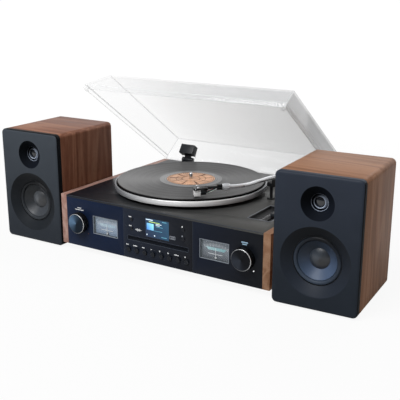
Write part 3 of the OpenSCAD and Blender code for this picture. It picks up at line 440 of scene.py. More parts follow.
@dataclass(frozen=True)
class Veneer:
    """Varnished walnut with arched figure, fine streaks and open pores."""

    name: str
    grain: Grain
    dark: str
    middle: str
    light: str
    seed: float = 0.0
    roughness: float = 0.42
    arches: float = 44.0

    def material(self) -> bpy.types.Material:
        """Builds the finish's material."""
        s = Shading(self.name)
        shift = (self.seed, self.seed * 1.7, self.seed * 0.6)
        if self.grain is Grain.DEEP:
            spot = s.place((1.0, 0.09, 1.0), shift)
        else:
            up = s.place((1.0, 1.0, 0.09), shift)
            across = s.place((0.09, 1.0, 1.0), shift)
            normal = s.node("SeparateXYZ", Vector=s.node("NewGeometry").outputs["Normal"]).outputs["Z"]
            flat = s.maths("GREATER_THAN", s.maths("ABSOLUTE", normal), 0.7)
            joined = s.node("Mix", {"data_type": "VECTOR"})
            s.feed(joined.inputs[0], flat)
            s.feed(joined.inputs[4], up)
            s.feed(joined.inputs[5], across)
            spot = joined.outputs[1]
        figure = s.noise(spot, 16, 2, 0.6)
        arches = s.window(s.maths("SINE", s.maths("MULTIPLY", figure, self.arches)), -1, 1)
        streaks = s.noise(spot, 420, 3)
        broad = s.noise(spot, 30, 2)
        depth = s.maths("ADD", s.maths("MULTIPLY", arches, 0.32),
                        s.maths("ADD", s.maths("MULTIPLY", streaks, 0.34), s.maths("MULTIPLY", broad, 0.42)))
        wood = s.ramp(depth, [(0.22, tone(self.dark)), (0.48, tone(self.middle)), (0.82, tone(self.light))])
        pores = s.window(s.noise(spot, 900, 2), 0.60, 0.68)
        s.set(Base_Color=s.mix(s.maths("MULTIPLY", pores, 0.35), wood, tuple(c * 0.5 for c in tone(self.dark))),
              Specular_IOR_Level=0.12)
        s.set(Roughness=s.window(streaks, 0.2, 0.8, self.roughness - 0.07, self.roughness + 0.09))
        s.relief(s.maths("SUBTRACT", streaks, pores), 0.2, 0.06)
        return s.material


@dataclass(frozen=True)
class Vinyl:
    """A record's grooves: bands of slightly different tone and a fanned sheen."""

    name: str
    colour: str

    def material(self) -> bpy.types.Material:
        """Builds the finish's material."""
        s = Shading(self.name)
        lines = s.outwards()
        bands = s.noise(lines, 7, 3)
        grooves = s.noise(lines, 260, 2)
        plain = tone(self.colour)
        lighter = tuple(c * 1.2 for c in plain)
        s.set(Base_Color=s.mix(s.window(bands, 0.35, 0.65), plain, lighter), Anisotropic=0.85,
              Anisotropic_Rotation=QUARTER, Specular_IOR_Level=0.75)
        s.set(Roughness=s.window(grooves, 0.25, 0.75, 0.26, 0.42))
        s.tangent()
        s.relief(grooves, 0.3, 0.03)
        return s.material


@dataclass(frozen=True)
class Clear:
    """See-through plastic with faint haze and smudges and, where a second alpha is set, a painted reflection that
    whitens it across one way.
    """

    name: str
    colour: str
    alpha: float
    roughness: float = 0.08
    specular: float = 0.5
    painted_sheen_alpha: float | None = None
    span: tuple[Triple, Triple] = ((-220, 0, 0), (220, 0, 0))

    def material(self) -> bpy.types.Material:
        """Builds the finish's material."""
        s = Shading(self.name)
        smudge = s.noise(s.place(), 18, 4, 0.5)
        plain = tone(self.colour)
        s.set(Base_Color=s.mix(s.window(smudge, 0.3, 0.7), tuple(c * 0.94 for c in plain), plain),
              Specular_IOR_Level=self.specular, Alpha=self.alpha)
        # A second alpha whitens the plastic across the span: a painted reflection.
        if self.painted_sheen_alpha is not None:
            s.set(Alpha=s.window(s.along(*self.span), 0.0, 1.0, self.alpha, self.painted_sheen_alpha))
        s.set(Roughness=s.window(smudge, 0.3, 0.7, self.roughness * 0.7, self.roughness * 1.5))
        s.relief(s.noise(s.place(), 9, 2), 0.1, 0.1)
        return s.material


@dataclass(frozen=True)
class Lit:
    """A lit area that fades from one colour to another across it."""

    name: str
    low: str
    high: str
    start: Triple
    end: Triple
    glow: float = 0.8
    roughness: float = 0.25

    def material(self) -> bpy.types.Material:
        """Builds the finish's material."""
        s = Shading(self.name)
        mottled = s.maths("ADD", s.along(self.start, self.end), s.maths("MULTIPLY", s.noise(s.place(), 90, 3), 0.12))
        colour = s.ramp(mottled, [(0.02, tone(self.low)), (1.0, tone(self.high))])
        s.set(Base_Color=colour, Roughness=self.roughness, Emission_Color=colour, Emission_Strength=self.glow)
        return s.material


def ink(name: str, code: str) -> Moulded:
    """Gives a printing ink."""
    return Moulded(name, code, 0.5, specular=0.2, mottle=0.03, relief=0.0, wear=0.0)


def painted_side_light(name: str, near: str, far: str, side: float, roughness: float = 0.45,
                  **looks: float) -> Moulded:
    """Gives the finish of a turned piece with painted light and shade: lighter towards one side, darker at the other.
    """
    return Moulded(name, near, roughness, far=far, side=side, **({"mottle": 0.05} | looks))


# One walnut for both speakers; the left copy is darker: painted shade.
CABINET = {
    Side.LEFT: Veneer("walnut_left_cabinet_painted_shade", Grain.WRAPPED, "5c3424", "805440", "986c54", 1.43),
    Side.RIGHT: Veneer("walnut_right_cabinet", Grain.WRAPPED, "71492f", "875e43", "9e7357", 0.31)}
WALNUT_CASE_LEFT = Veneer("walnut_case_left", Grain.DEEP, "8a665b", "a58277", "bb9c91", 2.17)
WALNUT_CASE_RIGHT = Veneer("walnut_case_right", Grain.DEEP, "744f39", "8a674f", "a17f66", 2.61)
# The front panel and the fascia darken towards the right: painted shade. The deck lightens towards the right: a
# painted reflection.
PANEL_PAINT_AND_SHADE = Moulded("front_panel_satin_painted_shade", "13213c", 0.36, specular=0.12, mottle=0.05, wear=0.25,
                      far="15171b", span=((-230, 0, 0), (230, 0, 40)))
FASCIA_GLOSS_AND_SHADE = Moulded("fascia_gloss_painted_shade", "1b2230", 0.24, specular=0.15, relief=0.008, mottle=0.05, wear=0.3,
                       far="16181e", span=((-79, 0, 0), (79, 0, 0)))
DECK_PAINT_AND_SHEEN = Moulded("deck_satin_painted_sheen", "11151c", 0.34, specular=0.16, relief=0.02, mottle=0.04, wear=0.1,
                     far="4a4a48", span=((-200, 60, 0), (230, 20, 0)))
BLACK_METAL = Moulded("black_sheet_metal", "1b1c1e", 0.5, 0.2, specular=0.3, relief=0.05)
RUBBER = Moulded("black_rubber", "121214", 0.8, specular=0.1, relief=0.06, wear=0.05)
MAT_RUBBER = Moulded("mat_rubber", "111112", 0.7, specular=0.1, relief=0.05, wear=0.05)
DARK_STEEL = Moulded("dark_steel", "6f7074", 0.38, 1.0, relief=0.03)
BLACK_PLASTIC = Moulded("black_plastic", "131417", 0.42, specular=0.3, relief=0.03)
GLOSS_BLACK = Moulded("gloss_black", "08090b", 0.18, specular=0.3, relief=0.004, mottle=0.05, wear=0.1)
FELT = Moulded("slot_felt", "1a1d23", 0.95, specular=0.05, grain=4000, relief=0.15, wear=0.0)
GREY_PLASTIC = Moulded("grey_plastic", "26292d", 0.34, specular=0.3, relief=0.02, wear=0.2)
CIRCUIT_GREEN = Moulded("circuit_green", "1d5a36", 0.4, mottle=0.3)
BRASS = Moulded("brass", "c8a662", 0.25, 1.0)
COPPER = Moulded("copper_coils", "b06a3c", 0.35, 1.0, mottle=0.3)
# The platter rim turns white towards one side: a painted highlight.
ALUMINIUM_AND_HIGHLIGHT = Spun("polished_aluminium", "7d8085", 0.26, 0.2, 0.8, 30, far="ffffff", side=0.84, focus=8.0)
# The platter's step, hub and underside are near black: painted shade round the record's edge.
PLATTER_STEP_SHADE = Moulded("platter_step_painted_shade", "101012", 0.4, specular=0.2, relief=0.01, wear=0.0)
CHROME = Moulded("chrome", "dcdfe3", 0.12, 1.0, relief=0.0, mottle=0.02, wear=0.0)
# The knob ring is dull but turns bright towards one side: a painted highlight.
RING_CHROME_HIGHLIGHT = Moulded("knob_ring_painted_highlight", "3a3e45", 0.3, 0.7, relief=0.0, mottle=0.02, wear=0.0, far="f4f6f8", side=0.1)
SILVER = Moulded("arm_silver", "e4e6e9", 0.3, 0.6, relief=0.01, mottle=0.04, wear=0.0)
RECORD_VINYL = Vinyl("record_vinyl", "1d1d1e")
# The run-out is the record's own black vinyl; its grey is a painted sheen.
DEAD_WAX_SHEEN = Spun("dead_wax_painted_sheen", "6f6f70", 0.3, 0.0, 0.6, 60)
# Each knob face lightens towards one side: a painted highlight, bluer on the left knob.
KNOB_SPUN_LEFT_HIGHLIGHT = Spun("knob_spun_face_left_painted_highlight", "17222f", 0.32, 0.8, 0.9, 140, far="6685a5", side=0.44)
KNOB_SPUN_RIGHT_HIGHLIGHT = Spun("knob_spun_face_right_painted_highlight", "141519", 0.34, 0.8, 0.9, 140, far="363b45", side=0.6)
# The cover grows whiter towards the right: a painted reflection.
COVER_CLEAR = Clear("dust_cover_clear", "d9dbdd", 0.03, painted_sheen_alpha=0.34)
# The cover's bevelled edges are near-opaque white: painted highlights.
COVER_EDGE_HIGHLIGHT = Clear("dust_cover_edge_highlights", "eef1f2", 0.62, 0.2)
WINDOW_CLEAR = Clear("window_clear", "c3d3dc", 0.06, 0.05, 0.6)
SHELL_WHITE = Moulded("cartridge_white", "f0f0f0", 0.35, relief=0.01, mottle=0.03, wear=0.0)
MARK_WHITE = ink("mark_white", "d6d8da")
MARK_BLUE = ink("mark_blue", "9fc0d8")
MARK_GREY = ink("mark_grey", "8b9099")
TRIM_GREY = Moulded("trim_grey", "878d96", 0.3, 0.6, mottle=0.05, wear=0.1)
METER_EDGE = Moulded("meter_edge", "8b929b", 0.4, 0.2, specular=0.2, mottle=0.05, relief=0.0, wear=0.0)
LINE_GREY = Moulded("line_grey", "3a414d", 0.35, 0.3, specular=0.2, mottle=0.05, wear=0.1)
BUTTON_BLACK = Moulded("button_black", "15181f", 0.3, specular=0.25, relief=0.006, wear=0.5)
# Each baffle lightens upwards: painted light from above.
BAFFLE = {way: Moulded(f"baffle_slate_{way.value}", low, 0.5, specular=0.12, relief=0.04, mottle=0.05,
                       wear=0.15, far=high, span=((0, 0, start), (0, 0, end)))
          for way, low, high, start, end in ((Side.LEFT, "2a2f36", "3e444b", 30, 225),
                                             (Side.RIGHT, "20262e", "2c323d", 60, 230))}
# Near black for the baffle's rounded edge: painted shade.
BAFFLE_EDGE_SHADE = Moulded("baffle_edge_painted_shade", "0b0d10", 0.55, specular=0.08, relief=0.03, mottle=0.05, wear=0.05)
# These turned pieces lighten towards one side and stay dark at the other: painted light and shade. The woofer dishes
# are darker than their baffles: painted shade in the recess. The left and right copies differ in how they are lit.
HORN_BLACK = painted_side_light("horn_black", "06080b", "141820", 0.9, 0.7, specular=0.03, relief=0.01, wear=0.05)
TWEETER_RING = painted_side_light("tweeter_ring", "12151a", "b6c2d6", 0.86, 0.3, specular=0.4, relief=0.0, mottle=0.04,
                             wear=0.0)
DISH = {way: painted_side_light(f"woofer_dish_{way.value}", *looks, specular=0.12, relief=0.04, wear=0.1)
        for way, looks in ((Side.LEFT, ("101317", "22262b", 0.8)), (Side.RIGHT, ("0d1014", "272d37", 0.78)))}
SURROUND = {way: painted_side_light(f"surround_rubber_{way.value}", *looks, specular=0.2, wear=0.0)
            for way, looks in ((Side.LEFT, ("0f1114", "33373c", 0.78)), (Side.RIGHT, ("0c0f14", "37414f", 0.72)))}
# Near black, so that the ring round the surround reads as a shaded gap: painted shade.
WOOFER_GAP_SHADE = Moulded("woofer_gap_painted_shade", "0b0e12", 0.35, specular=0.25, relief=0.01, mottle=0.05, wear=0.1)
CONE = {Side.LEFT: painted_side_light("cone_grey_left", "1a1d20", "43474d", 0.9, 0.42, specular=0.35, relief=0.06,
                                 mottle=0.1, wear=0.0),
        Side.RIGHT: painted_side_light("cone_slate_right", "1e2631", "46566f", 0.83, 0.45, specular=0.3, relief=0.06,
                                  mottle=0.1, wear=0.0)}
CAP = {Side.LEFT: painted_side_light("cap_left", "1b1e22", "4d5156", 0.45, 0.38, specular=0.9, relief=0.004,
                                mottle=0.04, wear=0.0),
       Side.RIGHT: painted_side_light("cap_right", "0c0f15", "2c343e", 0.38, 0.36, specular=0.8, relief=0.004,
                                 mottle=0.04, wear=0.0)}
DOME_SILK = Moulded("dome_silk", "14171c", 0.15, specular=0.9, relief=0.01, mottle=0.05, wear=0.0)
NEEDLE_WHITE = Moulded("needle_white", "eef0f2", 0.5, mottle=0.02, relief=0.0, wear=0.0)
LABEL_COPPER = Moulded("label_copper", "cf9d79", 0.4, specular=0.4, mottle=0.3, relief=0.01, wear=0.0)
LABEL_DARK = Moulded("label_print", "54311b", 0.55, specular=0.2, mottle=0.06, relief=0.0, wear=0.0)
RED = Moulded("red_ring", "a3211d", 0.4)
WIRE_COLOURS = [Moulded(f"wire_{word}", code, 0.5) for word, code in (
    ("red", "b3312c"), ("blue", "2f5fa8"), ("green", "3b8f55"), ("white", "dddddd"))]


# Meshes


class Form:
    """A mesh in the making, in millimetres."""

    def __init__(self) -> None:
        """Starts an empty mesh with a UV map."""
        self.bm = bmesh.new()
        self.uv = self.bm.loops.layers.uv.new("UVMap")

    def paint(self, index: int) -> None:
        """Gives a material index to every face made since the last call.

        Args:
            index: The index.
        """
        for face in self.bm.faces:
            if not face.tag:
                face.material_index = index
                face.tag = True

    def face(self, corners: Sequence[bmesh.types.BMVert], marks: Sequence[Pair] = ()) -> None:
        """Adds a face.

        Args:
            corners: Its vertices in order.
            marks: A UV pair for each of them.
        """
        made = self.bm.faces.new(corners)
        for loop, mark in zip(made.loops, marks):
            loop[self.uv].uv = mark

    def ring(self, points: Sequence[Triple], at: Matrix) -> list[bmesh.types.BMVert]:
        """Adds vertices at points in a frame."""
        return [self.bm.verts.new(at @ Vector(p)) for p in points]

    def bridge(self, first: list, second: list, v0: float, v1: float) -> None:
        """Joins two rings of equal length, or a ring and a pole.

        Args:
            first: A ring, or a single vertex.
            second: The next one.
            v0: The UV height of the first.
            v1: The UV height of the second.
        """
        count = max(len(first), len(second))
        for i in range(count):
            j, a, b = (i + 1) % count, i / count, (i + 1) / count
            if len(first) == 1:
                self.face([first[0], second[j], second[i]], [(a, v0), (b, v1), (a, v1)])
            elif len(second) == 1:
                self.face([first[i], first[j], second[0]], [(a, v0), (b, v0), (a, v1)])
            else:
                self.face([first[i], first[j], second[j], second[i]], [(a, v0), (b, v0), (b, v1), (a, v1)])

    def lathe(self, profile: Sequence[Pair], at: Matrix = Matrix(), segments: int = 96,
              closed: bool = True) -> "Form":
        """Turns a profile about Z.

        Args:
            profile: Each a radius and a height. A radius of 0 is a pole.
            at: The frame that it is in.
            segments: Steps round the axis.
            closed: Whether its last point joins its first. Two poles are never joined.

        Returns:
            This form.
        """
        rings, heights, run = [], [], 0.0
        for k, (r, z) in enumerate(profile):
            if k:
                run += math.dist(profile[k - 1], (r, z))
            heights.append(run / 100)
            turns = [2 * math.pi * i / segments for i in range(segments)]
            spots = [(0, 0, z)] if r < 1e-6 else [(r * math.cos(t), r * math.sin(t), z) for t in turns]
            rings.append(self.ring(spots, at))
        for k in range(len(rings) if closed else len(rings) - 1):
            n = (k + 1) % len(rings)
            if len(rings[k]) > 1 or len(rings[n]) > 1:
                self.bridge(rings[k], rings[n], heights[k], heights[n] if n else heights[k] + 0.01)
        return self

    def hoop(self, width: float, height: float, radius: float, profile: Sequence[Pair],
             at: Matrix = Matrix(), closed: bool = False, steps: int = 6) -> "Form":
        """Sweeps a profile round a rectangle with round corners that lies in XY.

        Args:
            width: The rectangle's width.
            height: Its height.
            radius: Its corner radius.
            profile: Each how far it is drawn in, and its height.
            at: The frame that it is in.
            closed: Whether the profile closes on itself. An open one gets a cap at each end.
            steps: Points of each corner.

        Returns:
            This form.
        """
        rings = [self.ring([(x, y, z) for x, y in rounded(width - 2 * inset, height - 2 * inset,
                                                          radius - inset, steps)], at)
                 for inset, z in profile]
        for k in range(len(rings) if closed else len(rings) - 1):
            self.bridge(rings[k], rings[(k + 1) % len(rings)], k / 10, (k + 1) / 10)
        if not closed:
            self.face(rings[0][::-1])
            self.face(rings[-1])
        return self

    def plate(self, width: float, height: float, thick: float, at: Matrix, radius: float = 0.5,
              bevel: float = 0.15) -> "Form":
        """Adds a plate from Z 0 to its thickness, with a bevelled front rim.

        Args:
            width: Its width.
            height: Its height.
            thick: Its thickness.
            at: The frame that it is in.
            radius: Its corner radius.
            bevel: The bevel of its rim.

        Returns:
            This form.
        """
        bevel = min(bevel, thick * 0.45, width * 0.2, height * 0.2)
        return self.hoop(width, height, min(radius, width * 0.49, height * 0.49),
                         [(0, 0), (0, thick - bevel), (bevel, thick)], at, steps=4)

    def box(self, centre: Triple, size: Triple, at: Matrix = Matrix(), bevel: float = 0.3,
            segments: int = 2) -> "Form":
        """Adds a block with bevelled edges.

        Args:
            centre: Its middle.
            size: Its lengths.
            at: The frame that it is in.
            bevel: The bevel's width.
            segments: The bevel's steps.

        Returns:
            This form.
        """
        made = bmesh.ops.create_cube(self.bm, size=1.0, matrix=at @ Matrix.Translation(centre)
                                     @ Matrix.Diagonal((*size, 1)))
        edges = list({e for v in made["verts"] for e in v.link_edges})
        bmesh.ops.bevel(self.bm, geom=edges, offset=bevel, segments=segments, affect="EDGES", profile=0.5)
        return self

    def prism(self, outline: Sequence[Pair], thick: float, at: Matrix) -> "Form":
        """Adds a flat shape from Z 0 to its thickness.

        Args:
            outline: Its corners.
            thick: Its thickness.
            at: The frame that it is in.

        Returns:
            This form.
        """
        low = self.ring([(x, y, 0) for x, y in outline], at)
        high = self.ring([(x, y, thick) for x, y in outline], at)
        self.bridge(low, high, 0, 0.1)
        self.face(low[::-1])
        self.face(high)
        return self

    def rod(self, start: Triple, end: Triple, radius: float, at: Matrix = Matrix(), bevel: float = 0.2,
            segments: int = 24) -> "Form":
        """Adds a round rod with bevelled ends.

        Args:
            start: The middle of its one end.
            end: The middle of its other end.
            radius: Its radius.
            at: The frame that it is in.
            bevel: The bevel of its ends.
            segments: Steps round it.

        Returns:
            This form.
        """
        run = Vector(end) - Vector(start)
        aim = at @ Matrix.Translation(start) @ run.to_track_quat("Z", "Y").to_matrix().to_4x4()
        l = run.length
        return self.lathe([(0, 0), (radius - bevel, 0), (radius, bevel), (radius, l - bevel),
                           (radius - bevel, l), (0, l)], aim, segments)

    def mesh(self, name: str) -> Mesh:
        """Closes the form.

        Args:
            name: The mesh's name.

        Returns:
            The mesh, in metres, with its faces pointing outwards.
        """
        bmesh.ops.remove_doubles(self.bm, verts=self.bm.verts, dist=0.0005)
        bmesh.ops.recalc_face_normals(self.bm, faces=self.bm.faces)
        made = bpy.data.meshes.new(name)
        self.bm.to_mesh(made)
        self.bm.free()
        made.transform(Matrix.Scale(MM, 4))
        return made


def rounded(width: float, height: float, radius: float, steps: int) -> list[Pair]:
    """Lists the points of a rectangle with round corners, centred.

    Args:
        width: Its width.
        height: Its height.
        radius: Its corner radius.
        steps: Points of each corner.

    Returns:
        The points, anticlockwise.
    """
    radius = max(radius, 0.01)
    points = []
    for turn, (sx, sy) in zip((0, 90, 180, 270), ((1, 1), (-1, 1), (-1, -1), (1, -1))):
        for i in range(steps + 1):
            a = math.radians(turn + 90 * i / steps)
            points.append((sx * (width / 2 - radius) + radius * math.cos(a),
                           sy * (height / 2 - radius) + radius * math.sin(a)))
    return points


def eased(first: Pair, corner: Pair, last: Pair) -> list[Pair]:
    """Rounds a corner of a profile.

    Args:
        first: Where the rounding starts.
        corner: The corner itself.
        last: Where the rounding ends.

    Returns:
        The points from first to last.
    """
    shares = [i / EASE_STEPS for i in range(EASE_STEPS + 1)]
    return [tuple((1 - t) ** 2 * a + 2 * t * (1 - t) * b + t * t * c for a, b, c in zip(first, corner, last))
            for t in shares]


# Growing recipes


class Recipe(Nodes):
    """A Geometry Nodes tree with named inputs, which ends as one mesh of one material."""

    def __init__(self, name: str) -> None:
        """Starts the tree.

        Args:
            name: Its name.
        """
        super().__init__(bpy.data.node_groups.new(name, "GeometryNodeTree"))
        for way in ("INPUT", "OUTPUT"):
            self.tree.interface.new_socket("Geometry", in_out=way, socket_type="NodeSocketGeometry")
        self.start = self.node("NodeGroupInput")
        self.end = self.node("NodeGroupOutput")

    def size(self, name: str, kind: str = "Float") -> Socket:
        """Adds a named input of a kind (Float, Int, Vector or Material) and gives its socket."""
        self.tree.interface.new_socket(name, in_out="INPUT", socket_type="NodeSocket" + kind)
        return self.start.outputs[name]

    def close(self, geometry: Socket) -> "Recipe":
        """Ends the tree with Realize Instances and Set Material.

        Args:
            geometry: What it has made.

        Returns:
            This recipe.
        """
        real = self.node("GeometryNodeRealizeInstances", Geometry=geometry)
        skin = self.node("GeometryNodeSetMaterial", Geometry=real.outputs[0], Material=self.size("Skin", "Material"))
        self.tree.links.new(skin.outputs[0], self.end.inputs[0])
        return self

    def grow(self, seed: Mesh | None, skin: bpy.types.Material, **sizes: Any) -> Mesh:
        """Runs the tree and keeps its result as a plain mesh.

        Args:
            seed: The mesh that it starts from, if any.
            skin: Its material.
            **sizes: Values for the named inputs, with _ for a space in a name.

        Returns:
            The mesh.
        """
        holder = linked("growing", seed or bpy.data.meshes.new("seed"))
        modifier = holder.modifiers.new("recipe", "NODES")
        modifier.node_group = self.tree
        values = {key.replace("_", " "): value for key, value in sizes.items()} | {"Skin": skin}
        for item in self.tree.interface.items_tree:
            if item.item_type == "SOCKET" and item.in_out == "INPUT" and item.name in values:
                modifier[item.identifier] = values[item.name]
        made = baked(holder)
        made.materials.clear()
        made.materials.append(skin)
        return made


class Recipes:
    """The growing recipes that several sub-assemblies share."""

    def __init__(self) -> None:
        """Builds every tree once."""
        self.ribs = self._ribs()
        self.ticks = self._ticks()
        self.tube = self._tube()
        self.louvres = self._louvres()
        self.screws = self._screws()

    @staticmethod
    def _outwards(recipe: Recipe, points: Socket, shape: Socket) -> Socket:
        """Sets a shape on points about the Z axis, with its X axis pointing outwards.

        Args:
            recipe: The recipe that it is for.
            points: The points.
            shape: The shape.

        Returns:
            The socket of the instances.
        """
        place = recipe.node("GeometryNodeInputPosition").outputs[0]
        aim = recipe.node("FunctionNodeAlignRotationToVector", {"axis": "X"}, Vector=place)
        return recipe.node("GeometryNodeInstanceOnPoints", Points=points, Instance=shape,
                           Rotation=aim.outputs[0]).outputs[0]

    def _ribs(self) -> Recipe:
        """Ribs or knurls round a turned piece."""
        r = Recipe("rib_ring")
        ring = r.node("GeometryNodeMeshCircle", Vertices=r.size("Count", "Int"), Radius=r.size("Radius"))
        rib = r.node("GeometryNodeMeshCylinder", Vertices=6, Radius=r.size("Rib radius"), Depth=r.size("Length"))
        return r.close(self._outwards(r, ring.outputs[0], rib.outputs["Mesh"]))

    def _ticks(self) -> Recipe:
        """Scale lines along an arc."""
        r = Recipe("tick_arc")
        arc = r.node("GeometryNodeCurveArc", Resolution=r.size("Count", "Int"), Radius=r.size("Radius"),
                     Start_Angle=r.size("Start"), Sweep_Angle=r.size("Sweep"))
        points = r.node("GeometryNodeCurveToPoints", {"mode": "EVALUATED"}, Curve=arc.outputs[0])
        tick = r.node("GeometryNodeMeshCube", Size=r.size("Tick", "Vector"))
        return r.close(self._outwards(r, points.outputs[0], tick.outputs["Mesh"]))

    def _tube(self) -> Recipe:
        """A round tube along a line of points."""
        r = Recipe("tube_path")
        path = r.node("GeometryNodeMeshToCurve", Mesh=r.start.outputs[0])
        ring = r.node("GeometryNodeCurvePrimitiveCircle", Resolution=r.size("Sides", "Int"),
                      Radius=r.size("Radius"))
        tube = r.node("GeometryNodeCurveToMesh", Curve=path.outputs[0], Profile_Curve=ring.outputs[0],
                      Fill_Caps=True)
        return r.close(tube.outputs[0])

    def _louvres(self) -> Recipe:
        """A row of pressed louvres."""
        r = Recipe("louvre_row")
        row = r.node("GeometryNodeMeshLine", Count=r.size("Count", "Int"), Offset=r.size("Pitch", "Vector"))
        bead = r.node("GeometryNodeMeshUVSphere", Segments=16, Rings=8, Radius=1.0)
        shape = r.node("GeometryNodeTransform", Geometry=bead.outputs["Mesh"], Scale=r.size("Bead", "Vector"))
        made = r.node("GeometryNodeInstanceOnPoints", Points=row.outputs[0], Instance=shape.outputs[0])
        return r.close(made.outputs[0])

    def _screws(self) -> Recipe:
        """Cross-head screws at the seed's points, facing Z."""
        r = Recipe("screw_set")
        radius = r.size("Radius")
        head = r.node("GeometryNodeMeshCone", Vertices=20, Radius_Top=radius, Radius_Bottom=radius,
                      Depth=r.size("Height"))
        slot = r.size("Slot", "Vector")
        one = r.node("GeometryNodeMeshCube", Size=slot)
        other = r.node("GeometryNodeTransform", Geometry=one.outputs["Mesh"], Rotation=(0, 0, math.pi / 2))
        lift = r.size("Slot height", "Vector")
        cut_one = r.node("GeometryNodeTransform", Geometry=one.outputs["Mesh"], Translation=lift)
        cut_other = r.node("GeometryNodeTransform", Geometry=other.outputs[0], Translation=lift)
        cut = r.node("GeometryNodeMeshBoolean", {"operation": "DIFFERENCE"})
        r.tree.links.new(head.outputs["Mesh"], cut.inputs["Mesh 1"])
        r.tree.links.new(cut_one.outputs[0], cut.inputs["Mesh 2"])
        r.tree.links.new(cut_other.outputs[0], cut.inputs["Mesh 2"])
        made = r.node("GeometryNodeInstanceOnPoints", Points=r.start.outputs[0], Instance=cut.outputs[0])
        return r.close(made.outputs[0])


class Workshop:
    """Finishes meshes, seats them on the frame's bodies and reports them."""

    def __init__(self) -> None:
        """Prepares the shared recipes."""
        self.recipes = Recipes()
        self.skins: dict[str, bpy.types.Material] = {}

    def skin(self, finish: Finish) -> bpy.types.Material:
        """Gives a finish's material, built once.

        Args:
            finish: The finish.

        Returns:
            Its material.
        """
        if finish.name not in self.skins:
            self.skins[finish.name] = finish.material()
        return self.skins[finish.name]

    def dress(self, node: str, finish: Finish) -> None:
        """Gives a CAD node a finish.

        Args:
            node: The node's name.
            finish: The finish.
        """
        mesh = frame["nodes"][node].data
        mesh.materials.clear()
        mesh.materials.append(self.skin(finish))
        LOG.info("dressed %s with %s", node, finish.name)

    def place(self, name: str, shape: Form | Mesh, finishes: Finish | Sequence[Finish], body: str,
              slot: str, *replaced: str, sharp: float = SHARP) -> bpy.types.Object:
        """Seats a finished piece on a body.

        Args:
            name: The piece's name.
            shape: Its form, or its mesh in metres.
            finishes: Its finish, or one for each material index.
            body: The body that it rides on.
            slot: The record's material slot; not used.
            *replaced: CAD nodes that it stands for.
            sharp: The angle in degrees above which an edge stays sharp.

        Returns:
            The piece's object.
        """
        mesh = shape.mesh(name) if isinstance(shape, Form) else shape
        finishes = finishes if isinstance(finishes, (tuple, list)) else (finishes,)
        for k, finish in enumerate(finishes):
            if k < len(mesh.materials):
                mesh.materials[k] = self.skin(finish)
            else:
                mesh.materials.append(self.skin(finish))
        mesh.shade_smooth()
        mesh.set_sharp_from_angle(angle=math.radians(sharp))
        piece = linked(name, mesh)
        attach(piece, body)
        if replaced:
            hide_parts(*replaced)
        LOG.info("made %s: %d faces on %s", name, len(mesh.polygons), body)
        return piece

    def grown(self, name: str, recipe: Recipe, at: Matrix, finish: Finish, body: str, slot: str, *,
              seed: Mesh | None = None, sharp: float = SHARP, **sizes: Any) -> bpy.types.Object:
        """Grows a piece, whose lengths are millimetres, and seats it.

        Args:
            name: The piece's name.
            recipe: How it grows.
            at: The frame that it is in.
            finish: Its finish.
            body: The body that it rides on.
            slot: The record's material slot.
            seed: The mesh that it starts from, if any.
            sharp: The angle in degrees above which an edge stays sharp.
            **sizes: Values for the recipe's inputs, with _ for a space in a name.

        Returns:
            The piece's object.
        """
        mesh = recipe.grow(seed, self.skin(finish), **sizes)
        mesh.transform(Matrix.Scale(MM, 4) @ at)
        return self.place(name, mesh, finish, body, slot, sharp=sharp)

    def refine(self, node: str, finishes: Finish | Sequence[Finish], bevel: float, *, segments: int = 2,
               angle: float = 40.0, edge_index: int = -1,
               sort: Callable[[Vector], int] | None = None) -> None:
        """Puts a copy with softened edges in a CAD node's place.

        Args:
            node: The node's name.
            finishes: Its finish, or one for each material index.
            bevel: The width of the softened edges.
            segments: Their steps.
            angle: The angle in degrees above which an edge is softened.
            edge_index: The material index of the softened edges, or -1 for that of their neighbours.
            sort: Chooses a face's material index by its middle, in millimetres.
        """
        cad = frame["nodes"][node]
        bm = bmesh.new()
        bm.from_mesh(cad.data)
        bmesh.ops.remove_doubles(bm, verts=bm.verts, dist=0.00001)
        bmesh.ops.dissolve_limit(bm, angle_limit=math.radians(0.5), verts=bm.verts, edges=bm.edges,
                                 delimit={"NORMAL"})
        copy = bpy.data.meshes.new(node + "_fine")
        bm.to_mesh(copy)
        bm.free()
        holder = linked("softening", copy)
        soft = holder.modifiers.new("edges", "BEVEL")
        soft.width = bevel * MM
        soft.segments = segments
        soft.limit_method = "ANGLE"
        soft.angle_limit = math.radians(angle)
        soft.material = edge_index
        soft.miter_outer = "MITER_ARC"
        if edge_index >= 0:
            for finish in finishes:
                copy.materials.append(self.skin(finish))
        made = baked(holder)
        if sort:
            for face in made.polygons:
                face.material_index = sort(face.center / MM)
        slot = next(p["material_slot"] for p in frame["record"]["subparts"] if p["node"] == node)
        self.place(node + "_finished", made, finishes, cad["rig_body"], slot, node)


# The room


@dataclass(frozen=True)
class Lamp:
    """A soft round lamp that points at the object, in metres and watts."""

    name: str
    at: Triple
    size: float
    power: float
    target: Triple = (0.0, 0.15, 0.1)

    def hang(self) -> None:
        """Hangs the lamp."""
        light = bpy.data.lights.new(self.name, "AREA")
        light.shape = "DISK"
        light.size = self.size
        light.energy = self.power
        lamp = linked(self.name, light)
        lamp.location = self.at
        lamp.rotation_euler = (Vector(self.target) - Vector(self.at)).to_track_quat("-Z", "Y").to_euler()


